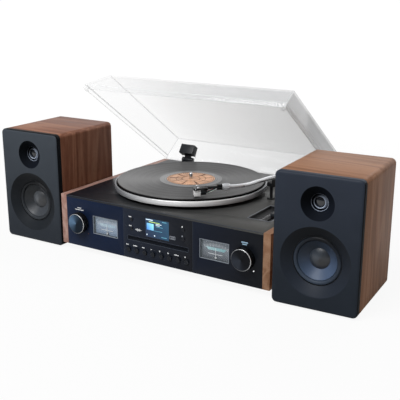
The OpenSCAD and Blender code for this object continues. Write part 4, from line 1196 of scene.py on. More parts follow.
@dataclass
class Studio:
    """The floor, the light and the camera, in metres but for the floor's half width."""

    floor_half: float = 40000.0
    camera_at: Triple = (0.763427, -1.060156, 0.52262)
    pitch: float = 16.297
    heading: float = 32.513
    lens: float = 66.538
    shift: Pair = (0.00818, -0.00266)
    glow_from: Pair = (0.6, 1.0)
    glow_to: Pair = (2.2, 1.085)
    glow_share: float = 0.92
    room_gloss: Pair = (0.06, 1.0)
    room_light: float = 0.22
    lamps: tuple[Lamp, ...] = (Lamp("key_lamp", (-0.35, -1.7, 2.5), 1.9, 84),
                               Lamp("rim_lamp", (0.4, 1.9, 1.9), 1.4, 14))

    def build(self) -> None:
        """Builds everything that isn't part of the object."""
        self._camera()
        self._floor()
        self._world()
        for lamp in self.lamps:
            lamp.hang()
        bpy.context.scene.view_settings.view_transform = "Standard"

    def _camera(self) -> None:
        """Sets the camera at the photograph's viewing angle."""
        lens = bpy.data.cameras.new("camera")
        lens.lens = self.lens
        lens.sensor_width = 36
        lens.shift_x, lens.shift_y = self.shift
        lens.clip_end = 200
        camera = linked("camera", lens)
        camera.location = self.camera_at
        camera.rotation_euler = (math.radians(90 - self.pitch), 0, math.radians(self.heading))
        bpy.context.scene.camera = camera

    def _floor(self) -> None:
        """Lays a pale floor that the camera sees almost white, with the object's shadow."""
        form = Form()
        h = self.floor_half
        form.face(form.ring([(-h, -h, 0), (h, -h, 0), (h, h, 0), (-h, h, 0)], Matrix()))
        s = Shading("floor_pale")
        s.set(Base_Color=(0.7, 0.7, 0.7), Roughness=0.9, Specular_IOR_Level=0.1)
        rays = s.node("LightPath").outputs
        seen = s.maths("MAXIMUM", rays["Is Camera Ray"], rays["Is Transmission Ray"])
        away = s.node("VectorMath", {"operation": "LENGTH"}, _0=s.node("TexCoord").outputs["Object"])
        (near, dim), (far, bright) = self.glow_from, self.glow_to
        white = s.node("Emission", Color=(1.0, 1.0, 1.0),
                       Strength=s.window(away.outputs["Value"], near, far, dim, bright))
        both = s.node("MixShader", Fac=s.maths("MULTIPLY", seen, self.glow_share), _1=s.skin.outputs[0],
                      _2=white.outputs[0])
        s.feed(s.tree.nodes["Material Output"].inputs[0], both.outputs[0])
        mesh = form.mesh("floor")
        mesh.materials.append(s.material)
        linked("floor", mesh)

    def _world(self) -> None:
        """Makes a soft room: white for the camera, paler behind than in front for gloss."""
        world = bpy.data.worlds.new("room")
        world.use_nodes = True
        w = ShaderTree(world.node_tree)
        rays = w.node("LightPath").outputs
        way = w.node("SeparateXYZ", Vector=w.node("TexCoord").outputs["Generated"])
        back = w.window(way.outputs["Y"], -0.5, 0.7, *self.room_gloss)
        gloss = w.node("Mix", _0=rays["Is Glossy Ray"], _2=self.room_light, _3=back)
        seen = w.maths("MAXIMUM", rays["Is Camera Ray"], rays["Is Transmission Ray"])
        strength = w.node("Mix", _0=seen, _2=gloss.outputs[0], _3=1.0)
        sky = w.tree.nodes["Background"]
        w.feed(sky.inputs["Strength"], strength.outputs[0])
        w.feed(sky.inputs["Color"], (1.0, 1.0, 1.0))
        bpy.context.scene.world = world


# The case


@dataclass
class Case:
    """The wooden case, its deck, its back and what is inside it."""

    shop: Workshop
    back_y: float = 364.0
    louvre_rows: tuple[float, ...] = (84.0, 90.0, 96.0)
    speaker_d: float = 164.0
    plate_t: float = 2.0
    jack_xs: tuple[int, ...] = (-170, -150, -120, -100)
    jack_zs: tuple[int, int] = (50, 70)
    post_xs: tuple[int, ...] = (-40, -20, 20, 40)
    post_z: float = 45.0
    inlet_xs: Pair = (155.0, 185.0)
    screw_reach: Pair = (205.0, 28.0)

    def build(self) -> None:
        """Builds the case's pieces."""
        shop = self.shop
        shop.refine("side_panel_left", WALNUT_CASE_LEFT, 1.2, segments=3)
        shop.refine("side_panel_right", WALNUT_CASE_RIGHT, 1.2, segments=3)
        shop.refine("top_deck", DECK_PAINT_AND_SHEEN, 0.5)
        shop.refine("front_panel", PANEL_PAINT_AND_SHADE, 0.35)
        shop.refine("centre_fascia", FASCIA_GLOSS_AND_SHADE, 0.25)
        shop.refine("rear_panel", BLACK_METAL, 0.2)
        shop.refine("rubber_feet", RUBBER, 0.8, angle=50)
        for node, finish in (("base_pan", BLACK_METAL), ("case_screws", DARK_STEEL), ("platter_motor", COPPER),
                             ("disc_drive", DARK_STEEL), ("control_boards", CIRCUIT_GREEN),
                             ("circuit_boards", CIRCUIT_GREEN)):
            shop.dress(node, finish)
        self._sockets()
        self._louvres()
        self._screws()

    def _sockets(self) -> None:
        """Finishes the sockets: dark carriers, brass contacts and coloured rings."""
        speakers = [Speaker(self.shop, side).at.inverted() for side in Side]
        plate_y = self.speaker_d + self.plate_t + 0.3
        low, high = self.inlet_xs

        def pick(middle: Vector) -> int:
            """Picks brass for round contacts and black for the carriers."""
            spots = [place @ middle for place in speakers]
            return int(low < middle.x < high or any(abs(p.x) < 75 and p.y < plate_y for p in spots))
        self.shop.refine("rear_sockets", (BRASS, BLACK_PLASTIC), 0.2, sort=pick)
        form = Form()
        for index, z in enumerate(self.jack_zs):
            for x in self.jack_xs:
                form.lathe([(4.25, 0), (6.2, 0), (6.2, 0.9), (5.9, 1.2), (4.25, 1.2)],
                           shifted(x, self.back_y, z) @ FACING_BACK, 32)
            form.paint(index)
        self.shop.place("jack_rings", form, (RED, MARK_WHITE), "main_unit", "brass_sockets")
        form = Form()
        for k, x in enumerate(self.post_xs):
            form.lathe([(5.8, 0), (6.9, 0), (6.9, 1.0), (6.5, 1.4), (5.8, 1.4)],
                       shifted(x, self.back_y, self.post_z) @ FACING_BACK, 32)
            form.paint(k % 2)
        self.shop.place("post_rings", form, (RED, BLACK_PLASTIC), "main_unit", "brass_sockets")

    def _louvres(self) -> None:
        """Presses rows of louvres into the rear panel."""
        for k, z in enumerate(self.louvre_rows):
            self.shop.grown(f"rear_louvres_{k + 1}", self.shop.recipes.louvres, shifted(-80, self.back_y, z),
                            BLACK_METAL, "main_unit", "black_metal", sharp=60, Count=11, Pitch=(16.0, 0.0, 0.0),
                            Bead=(6.2, 1.3, 1.5))

    def _screws(self) -> None:
        """Drives cross-head screws into the rear panel's corners."""
        x, z = self.screw_reach
        sites = seeded("screw_sites", [(-x, -z, 0), (-x, z, 0), (x, -z, 0), (x, z, 0)], in_line=False)
        self.shop.grown("rear_screws", self.shop.recipes.screws, shifted(0, self.back_y + 0.4, 64) @ FACING_BACK,
                        DARK_STEEL, "main_unit", "dark_steel", seed=sites, Radius=2.6, Height=1.2,
                        Slot=(3.4, 0.7, 1.0), Slot_height=(0.0, 0.0, 0.6))


# The front


class Mark(Enum):
    """The generic signs above the buttons."""

    PLAY = "a triangle"
    STOP = "a square"
    DOT = "a dot"
    BAR = "a bar"
    WIDE = "a wide bar"


@dataclass
class FrontControls:
    """The knobs, meters, display, slot and buttons."""

    shop: Workshop
    knob_x: float = 186.7
    knob_z: float = 64.0
    meter_x: float = 124.3
    meter_z: float = 64.3
    meter_w: float = 61.3
    meter_h: float = 37.0
    needle_z: float = 49.0
    arc_drop: float = 54.0
    arc_r: float = 62.5
    arc_fan: float = 46.0
    paper_d: float = 7.49
    band_d: float = 7.24
    scale_d: float = 7.2
    display_w: float = 55.0
    display_h: float = 38.5
    display_z: float = 82.2
    image_d: float = 0.22
    slot_w: float = 138.0
    slot_h: float = 8.2
    slot_z: float = 54.6
    row_z: float = 31.0
    pitch: float = 19.0
    small_x: float = 59.0
    small_zs: Pair = (73.5, 91.5)
    fascia_w: float = 158.0
    print_t: float = 0.08
    frame_sign: Pair = (34.6, 71.8)
    trim_zs: Pair = (13.4, 111.6)

    def on_front(self, x: float, z: float, out: float = 0.0) -> Matrix:
        """Gives a frame on the front, or some way before it, with its Z towards the viewer."""
        return shifted(x, -out, z) @ FACING_FRONT

    def build(self) -> None:
        """Builds the front's pieces."""
        for side, body, node in ((-1, "knob_left", "volume_knob"), (1, "knob_right", "tuning_knob")):
            self._knob(side, body, node)
        for side, name in ((-1, "left"), (1, "right")):
            self._meter(side, name)
        self._display()
        self._slot()
        self._buttons()
        self._marks()
        self._trim()

    def _knob(self, side: int, body: str, node: str) -> None:
        """Turns one knob: ribbed body, ring and spun face, the ring and the face each with a painted highlight on one
        side.

        Args:
            side: -1 for the left one and 1 for the right one.
            body: The body that it rides on.
            node: Its CAD node.
        """
        shop, at = self.shop, self.on_front(side * self.knob_x, self.knob_z)
        form = Form()
        form.lathe([(3.0, 0.6), (20.1, 0.6), (20.4, 1.0), (20.4, 13.0), (19.9, 14.4), (18.9, 14.6),
                    (3.0, 14.5)], at)
        form.rod((0, 0, 1.0), (0, 0, -16.5), 2.98, at)
        shop.place(node + "_body", form, GLOSS_BLACK, body, "knob_metal", node)
        ring = Form().lathe([(18.9, 14.5), (19.95, 14.3), (19.8, 14.75), (19.4, 15.0), (19.0, 14.9)], at)
        shop.place(node + "_ring", ring, RING_CHROME_HIGHLIGHT, body, "chrome_steel")
        face = Form().lathe([(0, 14.4), (18.8, 14.4), (18.8, 14.7), (18.4, 14.85), (16.0, 14.8), (0, 14.7)],
                            at)
        shop.place(node + "_face", face, KNOB_SPUN_LEFT_HIGHLIGHT if side < 0 else KNOB_SPUN_RIGHT_HIGHLIGHT, body,
                   "knob_metal")
        shop.grown(node + "_ribs", shop.recipes.ribs, at @ shifted(0, 0, 7.0), GLOSS_BLACK, body, "knob_metal",
                   Count=72, Radius=20.35, Rib_radius=0.45, Length=11.0)

    def _meter(self, side: int, name: str) -> None:
        """Fits one meter: frame, dial face, scale, arc band, numbers and needle.

        Args:
            side: -1 for the left one and 1 for the right one.
            name: Left or right.
        """
        shop, x = self.shop, side * self.meter_x
        w, h = self.meter_w, self.meter_h
        frame_ring = Form().hoop(w - 0.1, h - 0.1, 1.2, [(0, -0.9), (0, 0.12), (0.15, 0.2), (0.9, 0.2),
                                                         (1.1, -0.1), (1.1, -0.9)],
                                 self.on_front(x, self.meter_z), closed=True)
        shop.place(f"meter_frame_{name}", frame_ring, METER_EDGE, "main_unit", "grey_plastic")
        z, left = self.meter_z, side < 0
        # The left meter's paper and band are paler than the right's: a painted reflection on its window.
        low, high = ("70819a", "a3b0c0") if left else ("494950", "7c838b")
        paper = Lit(f"meter_paper_{name}", low, high, (0, 0, z - h / 2), (0, 0, z + h / 2), 0.1, 0.5)
        face = Form().plate(w - 0.4, h - 0.4, 0.25, self.on_front(x, z, -self.paper_d), 0.6, 0.05)
        shop.place(f"meter_face_{name}", face, paper, "main_unit", "display_blue")
        teal = Lit(f"scale_band_{name}", "a9bcc6" if left else "a3c3c6", "93a9b8" if left else "6f9da3",
                   (x - 20, 0, 0), (x + 20, 0, 0), 0.2, 0.5)
        bowl = Form().prism([(-16.6, -2.1), (16.6, -2.1), (21.5, 3.4), (-21.5, 3.4)], 0.08,
                            self.on_front(x, z, -self.band_d))
        shop.place(f"meter_band_{name}", bowl, teal, "main_unit", "display_blue")
        line = Form().plate(30.0, 1.2, 0.1, self.on_front(x - 2, z - 9.0, -self.band_d), 0.2, 0.02)
        shop.place(f"meter_line_{name}", line, MARK_WHITE, "main_unit", "cartridge_white")
        at, fan = self.on_front(x, z - self.arc_drop, -self.scale_d), math.radians(self.arc_fan)
        for kind, count, tick in (("ticks", 25, (4.6, 0.4, 0.08)), ("long_ticks", 9, (6.4, 0.7, 0.1))):
            shop.grown(f"meter_{kind}_{name}", shop.recipes.ticks, at, MARK_WHITE, "main_unit", "cartridge_white",
                       Count=count, Radius=self.arc_r, Start=math.pi / 2 - fan / 2, Sweep=fan, Tick=tick)
        self._numbers(name, self.on_front(x, z, -self.scale_d))
        at = self.on_front(x, self.needle_z, -self.scale_d)
        boss = Form().lathe([(0, 0), (3.2, 0), (3.2, 0.7), (2.6, 1.1), (0, 1.2)], at, 32)
        shop.place(f"meter_boss_{name}", boss, BLACK_PLASTIC, "main_unit", "black_plastic")
        needle = Form()
        deep = shifted(x, 5.4, self.needle_z)
        needle.lathe([(0, 0), (1.6, 0), (2.0, 0.3), (2.0, 1.0), (1.7, 1.2), (0, 1.2)], deep @ FACING_BACK, 32)
        needle.rod((0, 0, 0), (0, 0, 9), 0.78, deep @ FACING_BACK, 0.1, 16)
        needle.paint(1)
        needle.box((0, 0.3, 9.8), (0.7, 0.5, 18.2), deep, 0.1, 1)
        needle.paint(0)
        shop.place(f"needle_{name}_finished", needle, (NEEDLE_WHITE, BLACK_PLASTIC),
                   f"needle_{name}", "needle_orange", f"meter_needle_{name}")

    def _numbers(self, name: str, at: Matrix) -> None:
        """Prints plain numbers over the scale.

        Args:
            name: Which meter.
            at: The frame at its middle.
        """
        joined = bmesh.new()
        for k, number in enumerate(("0", "2", "4", "6", "8")):
            font = bpy.data.curves.new("number", "FONT")
            font.body = number
            font.size = 2.6
            font.align_x = "CENTER"
            font.align_y = "CENTER"
            font.extrude = 0.04
            made = baked(linked("number", font))
            made.transform(at @ shifted(-20 + 10 * k, 14.2 - 0.018 * (10 * k - 20) ** 2 / 4, 0.05))
            joined.from_mesh(made)
        mesh = bpy.data.meshes.new("numbers")
        joined.to_mesh(mesh)
        joined.free()
        mesh.transform(Matrix.Scale(MM, 4))
        self.shop.place(f"meter_numbers_{name}", mesh, MARK_WHITE, "main_unit", "black_plastic")

    def _display(self) -> None:
        """Lights the display: fading screen with plain bars, lines and dots."""
        shop, z = self.shop, self.display_z
        shop.dress("display_module", GLOSS_BLACK)
        shop.refine("meter_windows", WINDOW_CLEAR, 0.15)
        screen = Lit("display_screen", "101f3e", "1a4560", (-25, 0, z - 19), (25, 0, z + 19), 0.45)
        plate = Form().plate(self.display_w - 1.4, self.display_h - 1.4, 0.25, self.on_front(0, z, -0.45), 0.8, 0.08)
        shop.place("display_screen", plate, screen, "main_unit", "display_blue")
        bright = Lit("display_white", "c3d6e4", "dfeef6", (-27, 0, 0), (27, 0, 0), 0.7)
        green = Lit("display_green", "c3cf62", "9fc46b", (-20, 0, 0), (8, 0, 0), 0.6)
        blue = Lit("display_picture", "2f66b8", "86cfe6", (-24, 0, z - 4), (-8, 0, z + 9), 0.7)
        dim = Lit("display_dim", "4b7fa0", "5d9fb4", (-27, 0, 0), (27, 0, 0), 0.5)
        form, soft = Form(), Form()
        for dx, dz, w, h, faint in ((-17.5, 15.8, 16.0, 1.6, False), (-14.0, 13.2, 9.0, 1.0, True),
                                    (16.5, 15.8, 10.0, 1.3, True), (3.6, 9.6, 13.0, 1.1, False),
                                    (1.6, 7.0, 9.0, 1.0, False), (5.2, 4.4, 16.0, 1.0, True),
                                    (15.5, -14.2, 12.0, 1.1, True), (0.5, -4.0, 22.0, 0.8, True)):
            (soft if faint else form).plate(w, h, 0.12, self.on_front(dx, z + dz, -self.image_d), h * 0.45, 0.03)
        for dx in (-23.5, -5.8):
            form.lathe([(0, 0), (1.3, 0), (1.3, 0.1), (1.1, 0.14), (0, 0.14)],
                       self.on_front(dx, z - 14.0, -self.image_d), 20)
        line = Form().plate(25.0, 1.3, 0.12, self.on_front(-6.2, z + 12.0, -self.image_d), 0.5, 0.03)
        thumb = Form().plate(16.0, 13.0, 0.12, self.on_front(-15.8, z + 2.4, -self.image_d), 0.7, 0.03)
        for name, shape, lit in (("marks", form, bright), ("soft_marks", soft, dim), ("line", line, green),
                                 ("picture", thumb, blue)):
            shop.place("display_" + name, shape, lit, "main_unit", "display_blue")
        edge = Form().hoop(self.display_w - 0.06, self.display_h - 0.06, 1.0,
                           [(0, -0.6), (0, 0.1), (0.12, 0.2), (0.55, 0.2), (0.7, 0.05), (0.7, -0.6)],
                           self.on_front(0, z), closed=True)
        shop.place("display_frame", edge, GLOSS_BLACK, "main_unit", "black_plastic")

    def _slot(self) -> None:
        """Frames the disc slot and fits its two felt lips."""
        edge = Form().hoop(self.slot_w + 1.8, self.slot_h + 1.8, 2.0,
                           [(0, 0.0), (0.1, 0.25), (0.35, 0.35), (0.75, 0.3), (0.95, -0.4), (0.95, -1.6), (0.85, 0.0)],
                           self.on_front(0, self.slot_z), closed=True)
        self.shop.place("slot_frame", edge, LINE_GREY, "main_unit", "grey_plastic")
        form = Form()
        for way in (-1, 1):
            form.box((0, 1.9, self.slot_z + way * 2.25), (self.slot_w - 0.4, 1.0, 3.6), bevel=0.35, segments=3)
        self.shop.place("slot_lips", form, FELT, "main_unit", "black_rubber")

    def _buttons(self) -> None:
        """Softens and finishes the twelve buttons."""
        sites = {f"button_{i + 1}": ((i - 3.5) * self.pitch, self.row_z, 4.2, 3.0) for i in range(8)}
        for side, way in (("left", -1), ("right", 1)):
            for level, z in zip(("low", "high"), self.small_zs):
                sites[f"small_button_{side}_{level}"] = (way * self.small_x, z, 2.8, 1.5)
        for node, (x, z, r, proud) in sites.items():
            at = self.on_front(x, z)
            form = Form().lathe([(0, -14.0), (1.5, -14.0), (1.5, -3.5), (r + 1, -3.5), (r + 1, -2.3),
                                 (r, -2.3), (r, proud - 0.5), (r - 0.15, proud - 0.15), (r - 0.5, proud),
                                 (r - 1.1, proud - 0.1), (0, proud - 0.25)], at, 48)
            for vertex in form.bm.verts:
                vertex.co.y = min(vertex.co.y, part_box(node)[1].y / MM)
            self.shop.place(node + "_finished", form, BUTTON_BLACK, node + "_cap", "button_black", node)

    def _sign(self, mark: Mark, form: Form, x: float, z: float) -> None:
        """Draws one sign on the fascia.

        Args:
            mark: Which one.
            form: The form that it is added to.
            x: Its place.
            z: Its height.
        """
        at, t = self.on_front(x, z), self.print_t
        if mark is Mark.PLAY:
            form.prism([(-1.3, -1.3), (1.4, 0.0), (-1.3, 1.3)], t, at)
        elif mark is Mark.DOT:
            form.lathe([(0, 0), (1.5, 0), (1.5, t), (0, t)], at, 20)
        else:
            width, height = {Mark.STOP: (2.8, 2.6), Mark.BAR: (6.0, 2.0), Mark.WIDE: (9.4, 2.0)}[mark]
            form.plate(width, height, t, at, 0.2, 0.01)

    def _marks(self) -> None:
        """Prints the generic signs and fits the small lamps."""
        form = Form()
        row = (Mark.BAR, Mark.WIDE, Mark.BAR, Mark.PLAY, Mark.STOP, Mark.DOT, Mark.WIDE, Mark.DOT)
        for i, mark in enumerate(row):
            self._sign(mark, form, (i - 3.5) * self.pitch - 4.2, self.row_z + 8.7)
        for z in self.small_zs:
            self._sign(Mark.BAR, form, -self.small_x - 3.6, z + 5.2)
        self._sign(Mark.DOT, form, self.small_x - 2.6, self.small_zs[1] + 5.6)
        for dz, w in ((29.0, 10.0), (25.2, 21.0)):
            form.plate(w, 1.7, self.print_t, self.on_front(-self.knob_x - 2.5, self.knob_z + dz), 0.5, 0.02)
        blue = Form()
        for dz, w in ((28.0, 13.0), (24.6, 9.5)):
            blue.plate(w, 2.0, self.print_t, self.on_front(self.knob_x - 1, self.knob_z + dz), 0.5, 0.02)
        grey = Form()
        self._sign(Mark.DOT, grey, self.small_x - 2.6, self.small_zs[0] + 5.6)
        x, z = self.frame_sign
        grey.hoop(12.6, 6.4, 1.0, [(0, 0), (0, self.print_t), (0.9, self.print_t), (0.9, 0)],
                  self.on_front(x, z), closed=True)
        for dz in (-1.3, 1.3):
            grey.plate(8.4, 1.2, self.print_t, self.on_front(x, z + dz), 0.3, 0.02)
        wave = Form()
        for k, height in enumerate((1.6, 3.4, 5.4, 3.0, 4.6, 2.6, 1.4)):
            wave.plate(1.5, height, self.print_t, self.on_front(-50.0 + 2.2 * k, 73.2), 0.4, 0.02)
        for name, shape, paint in (("signs", form, MARK_WHITE), ("blue_signs", blue, MARK_BLUE),
                                   ("grey_signs", grey, MARK_GREY), ("wave", wave, MARK_WHITE)):
            self.shop.place("printed_" + name, shape, paint, "main_unit", "cartridge_white")
        lamp = Form()
        for index, (x, z) in enumerate(((-self.knob_x + 19, self.knob_z - 21), (self.knob_x + 18, self.knob_z - 21))):
            lamp.lathe([(0, -0.5), (1.2, -0.5), (1.2, 0.3), (0.9, 0.6), (0.4, 0.75), (0, 0.78)],
                       self.on_front(x, z), 24)
            lamp.paint(index)
        dim = Lit("lamp_dim", "4a3028", "5c3c2c", (0, 0, 0), (1, 0, 0), 0.2)
        bright = Lit("lamp_white", "e8eef4", "ffffff", (0, 0, 0), (1, 0, 0), 0.8)
        self.shop.place("panel_lamps", lamp, (dim, bright), "main_unit", "display_blue")

    def _trim(self) -> None:
        """Paints thin grey lines along the fascia's sides and foot and along the deck's front edge: painted highlights
        on these edges.
        """
        form = Form()
        low, high = self.trim_zs
        for way in (-1, 1):
            form.box((way * (self.fascia_w / 2), 0.05, (low + high) / 2), (0.45, 0.3, high - low), bevel=0.1)
        form.box((0, 0.05, low + 0.3), (self.fascia_w, 0.3, 0.5), bevel=0.1)
        form.box((0, 0.1, 115.55), (443.0, 0.5, 0.9), bevel=0.2)
        self.shop.place("fascia_edge_highlights", form, LINE_GREY, "main_unit", "grey_plastic")


# The turntable


@dataclass
class Turntable:
    """The platter, its mat, the record and the spindle."""

    shop: Workshop
    steps: int = 192
    print_t: float = 0.05
    spindle: Pair = (-37.0, 173.5)
    platter_r: float = 156.5
    platter_z: float = 122.5
    platter_top: float = 132.7
    mat_r: float = 150.0
    mat_z: float = 131.8
    mat_ribs: int = 12
    record_z: float = 134.8
    record_top: float = 136.5
    record_r: float = 150.8
    label_r: float = 50.0
    track_gaps: tuple[float, ...] = (129.0, 111.0, 97.0, 82.0)

    def build(self) -> None:
        """Builds the turntable's pieces."""
        shop, at = self.shop, shifted(*self.spindle, 0)
        r, low, top = self.platter_r, self.platter_z, self.platter_top
        form = Form().lathe([(self.mat_r + 3.4, top), (self.mat_r + 0.9, top - 0.3), (self.mat_r + 0.4, self.mat_z),
                             (4.05, self.mat_z), (4.05, low - 2), (20, low - 2), (20, low), (r - 1.2, low)],
                            at, self.steps, closed=False)
        # Step, hub and underside take the near-black finish: painted shade.
        form.paint(1)
        form.lathe([(r - 1.2, low), (r - 0.3, low + 0.35), (r, low + 0.9), (r, top - 1.1), (r - 0.25, top - 0.4),
                    (r - 0.9, top), (self.mat_r + 3.4, top)], at, self.steps, closed=False)
        form.paint(0)
        shop.place("platter_finished", form, (ALUMINIUM_AND_HIGHLIGHT, PLATTER_STEP_SHADE), "turntable",
                   "polished_aluminium", "platter", sharp=50)
        mat_low, mat_top = self.mat_z + 0.05, self.record_z - 0.15
        rings = [(4.0, mat_low), (4.0, mat_top)]
        for k in range(self.mat_ribs):
            a = 54 + 7.8 * k
            rings += [(a, mat_top), (a + 0.5, mat_top - 0.55), (a + 1.2, mat_top - 0.55), (a + 1.7, mat_top)]
        rings += [(self.mat_r - 1.0, mat_top), (self.mat_r, mat_top - 0.75), (self.mat_r, mat_low)]
        shop.place("mat_finished", Form().lathe(rings, at, 160), MAT_RUBBER, "turntable",
                   "black_rubber", "platter_mat")
        self._record(at)
        tip = Form().lathe([(0, self.mat_z), (3.6, self.mat_z), (3.6, 146.2), (3.35, 147.2), (2.5, 148.4),
                            (1.3, 149.2), (0, 149.5)], at, 48)
        shaft = [(0, 73.4), (4.0, 73.4), (4.0, 118.5), (34, 118.5), (34, 120.5), (4.0, 120.5), (4.0, self.mat_z),
                 (0, self.mat_z)]
        tip.lathe(shaft, at, 64)
        shop.place("spindle_finished", tip, CHROME, "turntable", "chrome_steel", "spindle")

    def _record(self, at: Matrix) -> None:
        """Presses the record: bead, grooved band with track gaps, dead wax and label.

        Args:
            at: The frame of the turntable.
        """
        low, top, r = self.record_z, self.record_top, self.record_r
        line = [(3.65, low + 0.1), (r - 3.0, low + 0.1), (r - 1.5, low), (r - 0.3, low + 0.1), (r, low + 0.5),
                (r, top - 0.45), (r - 0.35, top - 0.08), (r - 1.6, top), (r - 3.0, top - 0.12), (r - 4.0, top - 0.3)]
        for gap in self.track_gaps:
            line += [(gap + 1.0, top - 0.3), (gap + 0.7, top - 0.28), (gap - 0.7, top - 0.28), (gap - 1.0, top - 0.3)]
        line += [(64.0, top - 0.3)]
        r, shop = self.label_r, self.shop
        dead = [(64.0, top - 0.3), (63.6, top - 0.2), (62.6, top - 0.22), (r + 1.2, top - 0.22), (r + 0.6, top),
                (r, top)]
        inside = [(r, top), (r - 0.4, top - 0.12), (3.65, top - 0.12), (3.65, low + 0.1)]
        form = Form()
        for profile, index in ((line, 0), (dead, 1), (inside, 0)):
            form.lathe(profile, at, self.steps, closed=False)
            form.paint(index)
        shop.place("record_finished", form, (RECORD_VINYL, DEAD_WAX_SHEEN), "turntable", "vinyl_black",
                   "record", sharp=60)
        disc = Form().lathe([(3.7, top - 0.12), (r - 0.8, top - 0.12), (r - 0.8, top + 0.02), (r - 1.1, top + 0.06),
                             (16.6, top + 0.06), (16.2, top - 0.02), (15.2, top - 0.02), (14.8, top + 0.06),
                             (3.7, top + 0.06)], at, 128)
        shop.place("record_label", disc, LABEL_COPPER, "turntable", "needle_orange")
        inked = Form()
        for inner, outer in ((46.4, 47.3), (30.0, 31.0), (18.0, 19.4)):
            inked.lathe([(inner, top + 0.05), (outer, top + 0.05), (outer, top + 0.09), (inner, top + 0.09)], at, 128)
        for k in range(9):
            half = 1.5 + (k % 3)
            spots = ((20.0, -2.0), (44.0, -half), (44.0, half), (20.0, 2.0))
            outline = [(q * math.cos(math.radians(40 * k + a)), q * math.sin(math.radians(40 * k + a)))
                       for q, a in spots]
            inked.prism(outline, self.print_t, at @ shifted(0, 0, top + 0.05))
        shop.place("label_print", inked, LABEL_DARK, "turntable", "needle_orange")
        shop.grown("label_rays", shop.recipes.ticks, at @ shifted(0, 0, top + 0.07), LABEL_DARK, "turntable",
                   "needle_orange", Count=60, Radius=43.6, Start=0.0, Sweep=math.radians(354),
                   Tick=(3.6, 0.7, self.print_t))


# The tonearm


